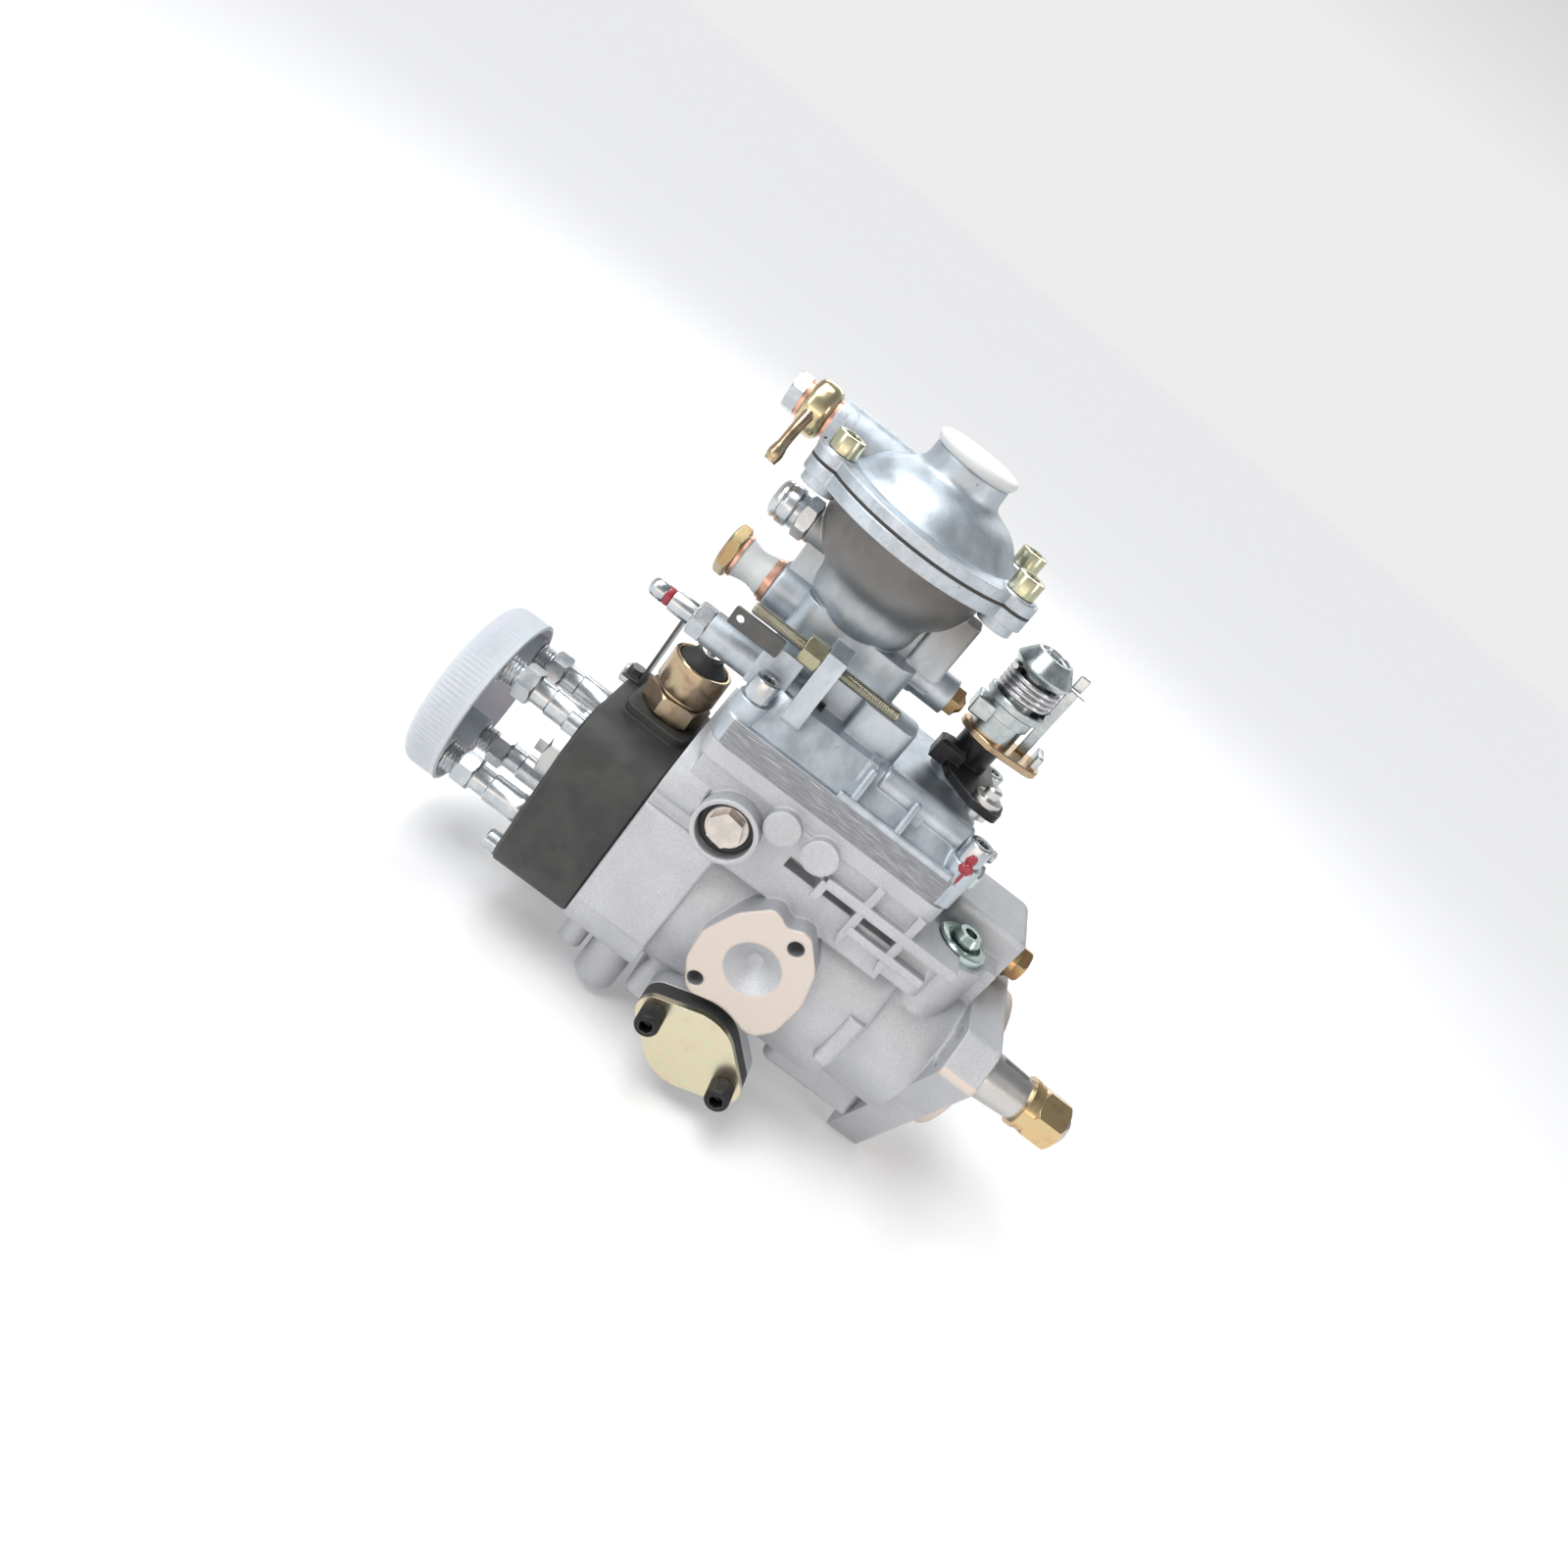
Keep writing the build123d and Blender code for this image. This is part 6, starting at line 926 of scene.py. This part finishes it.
# socket screws: timing device (knurled, black), cover (bright) and capsule (pale gold). The rows run from
# the buried shank over the head into its hexagon socket; ridges are a cosine round the head
timingScrews = {
    "feet": [(-114.0, -56.0, -36.0), (-74.0, -56.0, -45.0), (-114.0, 48.0, -36.0), (-74.0, 48.0, -45.0)],
    "rows": [(-6.0, 2.9), (0.0, 2.9), (0.0, 4.7), (0.4, 5.05), (8.6, 5.05), (9.2, 4.7), (9.5, 4.2),
             (9.5, 2.95), (9.1, 2.6, 1.0), (4.6, 2.5, 1.0)],
    "ends": (-6.0, 3.6), "columns": 144, "ridges": 36, "ridge": 0.14, "ridgedRows": slice(3, 5)}
coverScrews = {
    "feet": [(-157.0, -36.0, 88.0), (-157.0, 36.0, 88.0), (-59.5, -36.0, 88.0), (-59.5, 36.0, 88.0)],
    "rows": [(-8.0, 2.9), (0.0, 2.9), (0.0, 5.0), (0.2, 5.2), (8.2, 5.2), (8.7, 5.0), (9.0, 4.5),
             (9.0, 3.0), (8.6, 2.6, 1.0), (4.0, 2.5, 1.0)], "ends": (-8.0, 3.2)}
capsuleScrews = {
    "feet": [(-184.3, -21.0, 172.8), (-184.3, 21.0, 172.8), (-106.7, -21.0, 172.8), (-106.7, 21.0, 172.8)],
    "rows": [(-6.0, 2.9), (0.0, 2.9), (0.0, 5.2), (0.25, 5.5), (6.4, 5.5), (6.85, 5.3), (7.0, 4.8),
             (7.0, 3.2), (6.6, 2.8, 1.0), (3.4, 2.7, 1.0)], "ends": (-6.0, 2.8)}


def makeTimingScrews(d):
    angle = around(d["columns"])
    grid = rings(d["rows"], d["columns"])
    ridge = d["ridge"] * np.cos(angle * d["ridges"])
    grid[d["ridgedRows"], :, 0] += ridge * np.cos(angle)
    grid[d["ridgedRows"], :, 1] += ridge * np.sin(angle)
    for k, foot in enumerate(d["feet"]):
        turned("timingScrew%d" % (k + 1), grid, foot, (0, math.copysign(1, foot[1]), 0), oxide, "black_steel",
               d["ends"], "timing_screws")


def makeUprightScrews(d, name, finish, slot, node):
    for k, foot in enumerate(d["feet"]):
        turned("%s%d" % (name, k + 1), d["rows"], foot, upward, finish, slot, d["ends"], node)


makeTimingScrews(timingScrews)
makeUprightScrews(coverScrews, "coverScrew", zinc, "black_steel", "cover_screws")
makeUprightScrews(capsuleScrews, "capsuleScrew", paleGold, "yellow_zinc", "boost_screws")

# shaft end thread past the nut, with a centre hole
shaftThread = {
    "name": "shaftThread", "foot": (55.0, 0.0, 0.0), "toward": outward, "finish": steel,
    "slot": "machined_steel", "body": "shaft", "ends": (0.0, 2.2), "crease": 50.0, "rows": threaded(
        [(0.0, 6.4)], (0.1, 4.4, 7.25, 0.5, 1.5), [(4.7, 6.5), (5.0, 5.9), (5.02, 3.0), (3.4, 2.2)])}
turned(**shaftThread)

# round pipe union: polished eye about the bolt, and a bored stem bent down with a barb at its end
# the eye's outline is a superellipse: |across|^3 + |along|^3 = 1, scaled to its width and height
# the stem follows a quadratic Bezier curve, (1-t)^2 first + 2t(1-t) middle + t^2 last, with its radius
# from a table; its bore's rings are shares of the last ring at depths below it
banjo = {
    "place": (-201.25, 0.0, 175.5), "halfWidth": 5.25, "bore": 4.6, "wall": 1.2, "radius": 10.6,
    "power": 2 / 3, "stemPath": [(-0.6, -6.0, -1.0), (-1.2, -14.5, -2.8), (-1.9, -18.9, -20.9)],
    "stemRadii": [(0.0, 3.3), (0.16, 3.0), (0.24, 2.3), (0.34, 2.15), (0.76, 2.15), (0.79, 2.2), (0.84, 2.6),
                  (0.90, 2.95), (0.95, 2.75), (0.975, 2.4), (1.0, 2.35)],
    "stemBore": [(0.66, 0.0), (0.6, 0.2), (0.58, 5.0)]}


def makeBanjo(d):
    half, bore, inner = d["halfWidth"], d["bore"], d["bore"] + d["wall"]
    bend = np.linspace(-math.pi / 2, math.pi / 2, 25)
    along = np.sign(np.sin(bend)) * np.abs(np.sin(bend)) ** d["power"] * half
    outer = inner + np.abs(np.cos(bend)) ** d["power"] * (d["radius"] - inner)
    rows = [(-half, bore)] + list(zip(along, outer)) + [(half, bore)]
    turned("banjoEye", rows, d["place"], outward, unionGold, "yellow_zinc", node="boost_banjo", crease=50.0)
    first, middle, last = np.array(d["stemPath"])
    t = np.linspace(0, 1, 70)[:, None]
    path = np.array(d["place"]) + (1 - t) ** 2 * first + 2 * t * (1 - t) * middle + t ** 2 * last
    share, radius = np.array(d["stemRadii"]).T
    tube = wireAlong(path, np.interp(t[:, 0], share, radius)[:, None, None], 48)
    end = path[-1]
    way = (end - path[-2]) / np.linalg.norm(end - path[-2])
    hollow = np.array([end + (tube[-1] - end) * size - way * depth for size, depth in d["stemBore"]])
    pipe = skin("banjoStem", np.concatenate([tube, hollow])[::-1], bronze,
                poles=(end - way * d["stemBore"][-1][1], path[0]))
    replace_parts(pipe, "boost_banjo")


makeBanjo(banjo)

# small fittings on the cover: gold nut with a nose in the cross boss, pale plug and screw in the front wall
linkageNut = {
    "name": "linkageNut", "foot": (-99.1, 0.0, 121.5), "turn": 14.0, "ends": (0.0, 6.4), "finish": amber,
    "slot": "yellow_zinc", "rows": hexRows(0.0, 4.4, 11.0) + [(4.4, 4.0), (4.9, 3.9), (6.4, 2.2)]}
frontPlug = {
    "name": "frontPlug", "foot": (-55.2, -22.0, 79.0), "turn": 10.0, "ends": (-0.6, 7.0),
    "finish": greenZinc, "slot": "bright_zinc",
    "rows": [(-0.6, 5.0)] + hexRows(0.0, 6.4, 10.4) + [(6.4, 4.0), (7.0, 3.6)]}
frontScrew = {
    "name": "frontScrew", "foot": (-55.2, -15.0, 86.5), "ends": (-0.6, 7.8), "crease": 60.0,
    "finish": zinc, "slot": "bright_zinc",
    "rows": threaded([(-0.6, 2.9)], (0.0, 7.4, 3.1, 0.5, 1.2), [(7.6, 2.4), (7.8, 1.8)], 48)}
makeStack((linkageNut, frontPlug, frontScrew), toward=outward)

# smooth dome of the capsule's top, from its flange up to the neck under the dust cap: the profile's points
# are spread evenly and their radii smoothed by a running mean
dome = {"place": (-145.5, 0.0, 0.0), "steps": 60, "mean": 7, "columns": 144, "rows": [
    (171.9, 37.4), (172.6, 35.6), (173.8, 34.2), (175.6, 32.6), (178.0, 30.8), (179.9, 29.0), (181.4, 26.8),
    (182.6, 24.2), (183.6, 21.4), (184.5, 19.0), (185.4, 17.3), (186.5, 16.2), (188.0, 15.75),
    (190.5, 15.65), (193.2, 15.6), (193.7, 15.2), (194.2, 14.8), (194.4, 14.4)]}


def makeDome(d):
    height, radius = np.array(d["rows"]).T
    mark = np.arange(len(height))
    spread = np.linspace(0, len(height) - 1, d["steps"])
    padded = np.pad(np.interp(spread, mark, radius), d["mean"] // 2, mode="edge")
    smooth = np.convolve(padded, np.ones(d["mean"]) / d["mean"], "valid")
    rows = list(zip(np.interp(spread, mark, height), smooth))
    turned("capsuleDome", rows, d["place"], upward, satinPlain, "cast_aluminium", (height[0], height[-1]),
           columns=d["columns"], crease=60.0)


makeDome(dome)

# control lever's upper arm, sleeve, hub and double cone cap, with a stop strip, the coil's grip, an ear
# and a hook
arm = {
    "centre": (-77.0, 8.0), "bottom": 115.0, "thick": 3.0, "bevel": 0.4, "rim": 1.5, "round": 6.0,
    "arcs": [(-83.0, 8.0), (-80.0, 4.0), (-75.0, 2.0), (-59.0, 5.0), (-59.0, 10.0), (-74.0, 14.0),
             (-81.0, 12.0)],
    "stack": [
        (118.0, 9.6), (126.4, 9.6), (126.8, 10.6), (131.6, 10.6), (132.0, 12.3), (132.4, 12.6), (134.9, 12.6),
        (135.4, 12.1), (135.4, 7.2), (147.4, 7.2), (147.4, 10.6), (147.8, 11.2), (149.9, 12.5), (150.4, 12.6),
        (150.9, 12.3), (156.2, 8.4), (156.8, 7.9), (157.0, 7.2), (157.0, 6.5), (156.4, 6.2), (154.2, 6.2)],
    "socket": [(153.6, 6.1), (155.9, 6.1), (156.2, 5.8), (156.2, 4.6), (155.9, 3.9, 1.0), (153.9, 3.8, 1.0)],
    "blocks": [
        ("controlGrip", (-86.5, 5.0, 126.0), (9.0, 12.0, 8.0), 1.0),
        ("controlEar", (-56.5, 7.5, 119.5), (3.0, 11.0, 9.0), 0.8),
        ("controlStrip", (-62.6, 10.5, 137.4), (4.4, 1.6, 39.0), 0.5)],
    "hook": [(-66.5, 9.0, 150.6), (-58.6, 5.5, 151.0)], "hookWire": 0.6}


def makeArm(d):
    foot, low, node = (*d["centre"], 0.0), d["bottom"], "control_arm"
    plate, poles = roundedPlate(d["arcs"], d["round"], low, low + d["thick"], d["bevel"], d["rim"])
    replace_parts(skin("controlArmPlate", plate, armSteel, "control", poles), node)
    for name, rows, finish in (("controlStack", d["stack"], armSteel), ("controlCapNut", d["socket"], zinc)):
        ends = (rows[0][0], rows[-1][0])
        turned(name, rows, foot, upward, finish, "bright_zinc", ends, node, body="control")
    path = np.linspace(*d["hook"], 12)
    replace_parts(wirePiece("controlHook", path, d["hookWire"], 16, "control"), node)
    for name, place, size, radius in d["blocks"]:
        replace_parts(block(name, place, size, radius, armSteel, "control"), node)


makeArm(arm)

# castings grown on the cover: fuller return boss, sloping ribs and lip of its near side, web from bowl to
# upright
coverSkin = {
    "returnBoss": (-178.0, 0.0, 115.4), "bossRows": [
        (0.2, 9.3), (0.5, 9.9), (1.1, 10.3), (1.8, 10.4), (12.0, 10.5), (17.0, 11.2), (21.0, 12.6),
        (24.0, 14.6)],
    "ribFeet": [(-107.0, -43.0, 80.0), (-87.0, -43.0, 80.0)], "ribSize": (3.4, 3.2, 16.0),
    "ribWay": (0.0, 0.42, 0.91), "round": 1.2, "blocks": [
        ("coverLip", (-87.0, -42.8, 81.2), (52.0, 3.0, 3.6)),
        ("coverWeb", (-121.0, 2.0, 131.0), (17.0, 12.0, 34.0))]}


def makeCoverSkin(d):
    rows, length, slot = d["bossRows"], d["ribSize"][2], "cast_aluminium"
    ends = (rows[0][0], rows[-1][0])
    turned("returnBoss", rows, d["returnBoss"], outward, satin, slot, ends, crease=60.0)
    rib = roundedBlock(d["ribSize"], d["round"]) + np.array([0.0, 0.0, length / 2])
    for k, foot in enumerate(d["ribFeet"]):
        turned("coverRib%d" % (k + 1), rib, foot, d["ribWay"], satin, slot, (0.0, length), turn=90.0)
    for name, place, size in d["blocks"]:
        block(name, place, size, d["round"], satin)


makeCoverSkin(coverSkin)

# dark rubber ring that stands in for the shade in the side plug's recess under its collar: an ellipse carried
# round the plug, flattened along its axis
plugShadowRing = {"place": (-136.5, -45.15, 44.0), "radius": 9.9, "thick": 1.3, "flat": 0.55}


def makePlugShadowRing(d):
    bend = -around(24)[::-1]
    rows = [(d["flat"] * d["thick"] * math.sin(b), d["radius"] + d["thick"] * math.cos(b)) for b in bend]
    turned("sidePlugShadowRing", rows, d["place"], (0, 1, 0), rubber, "black_rubber", crease=80.0)


makePlugShadowRing(plugShadowRing)

# red sealing paint from the front cover screw down its boss: a sphere squeezed to three half sizes and
# scaled by 1 plus two sines of its turn and tilt
paint = {"lumps": (0.08, 0.05), "dabs": [
    ((-59.6, -41.0, 90.5), (2.0, 1.2, 3.0)), ((-59.4, -42.4, 87.6), (2.9, 1.4, 2.3)),
    ((-59.2, -43.8, 84.0), (0.6, 0.5, 3.2))]}


def makePaint(d):
    turn = around(40)[None, :]
    tilt = np.linspace(-math.pi / 2, math.pi / 2, 22)[1:-1][:, None]
    ball = np.stack([np.cos(tilt) * np.cos(turn), np.cos(tilt) * np.sin(turn), np.sin(tilt) + 0 * turn], -1)
    coarse, small = d["lumps"]
    for k, (centre, size) in enumerate(d["dabs"]):
        lump = 1 + coarse * np.sin(3 * turn + 4 * tilt + k) + small * np.sin(5 * turn - 3 * tilt)
        grid = lump[..., None] * ball * np.array(size)
        turned("sealPaint%d" % (k + 1), grid, centre, upward, redPaint, "bright_zinc", (-size[2], size[2]),
               crease=80.0)


makePaint(paint)
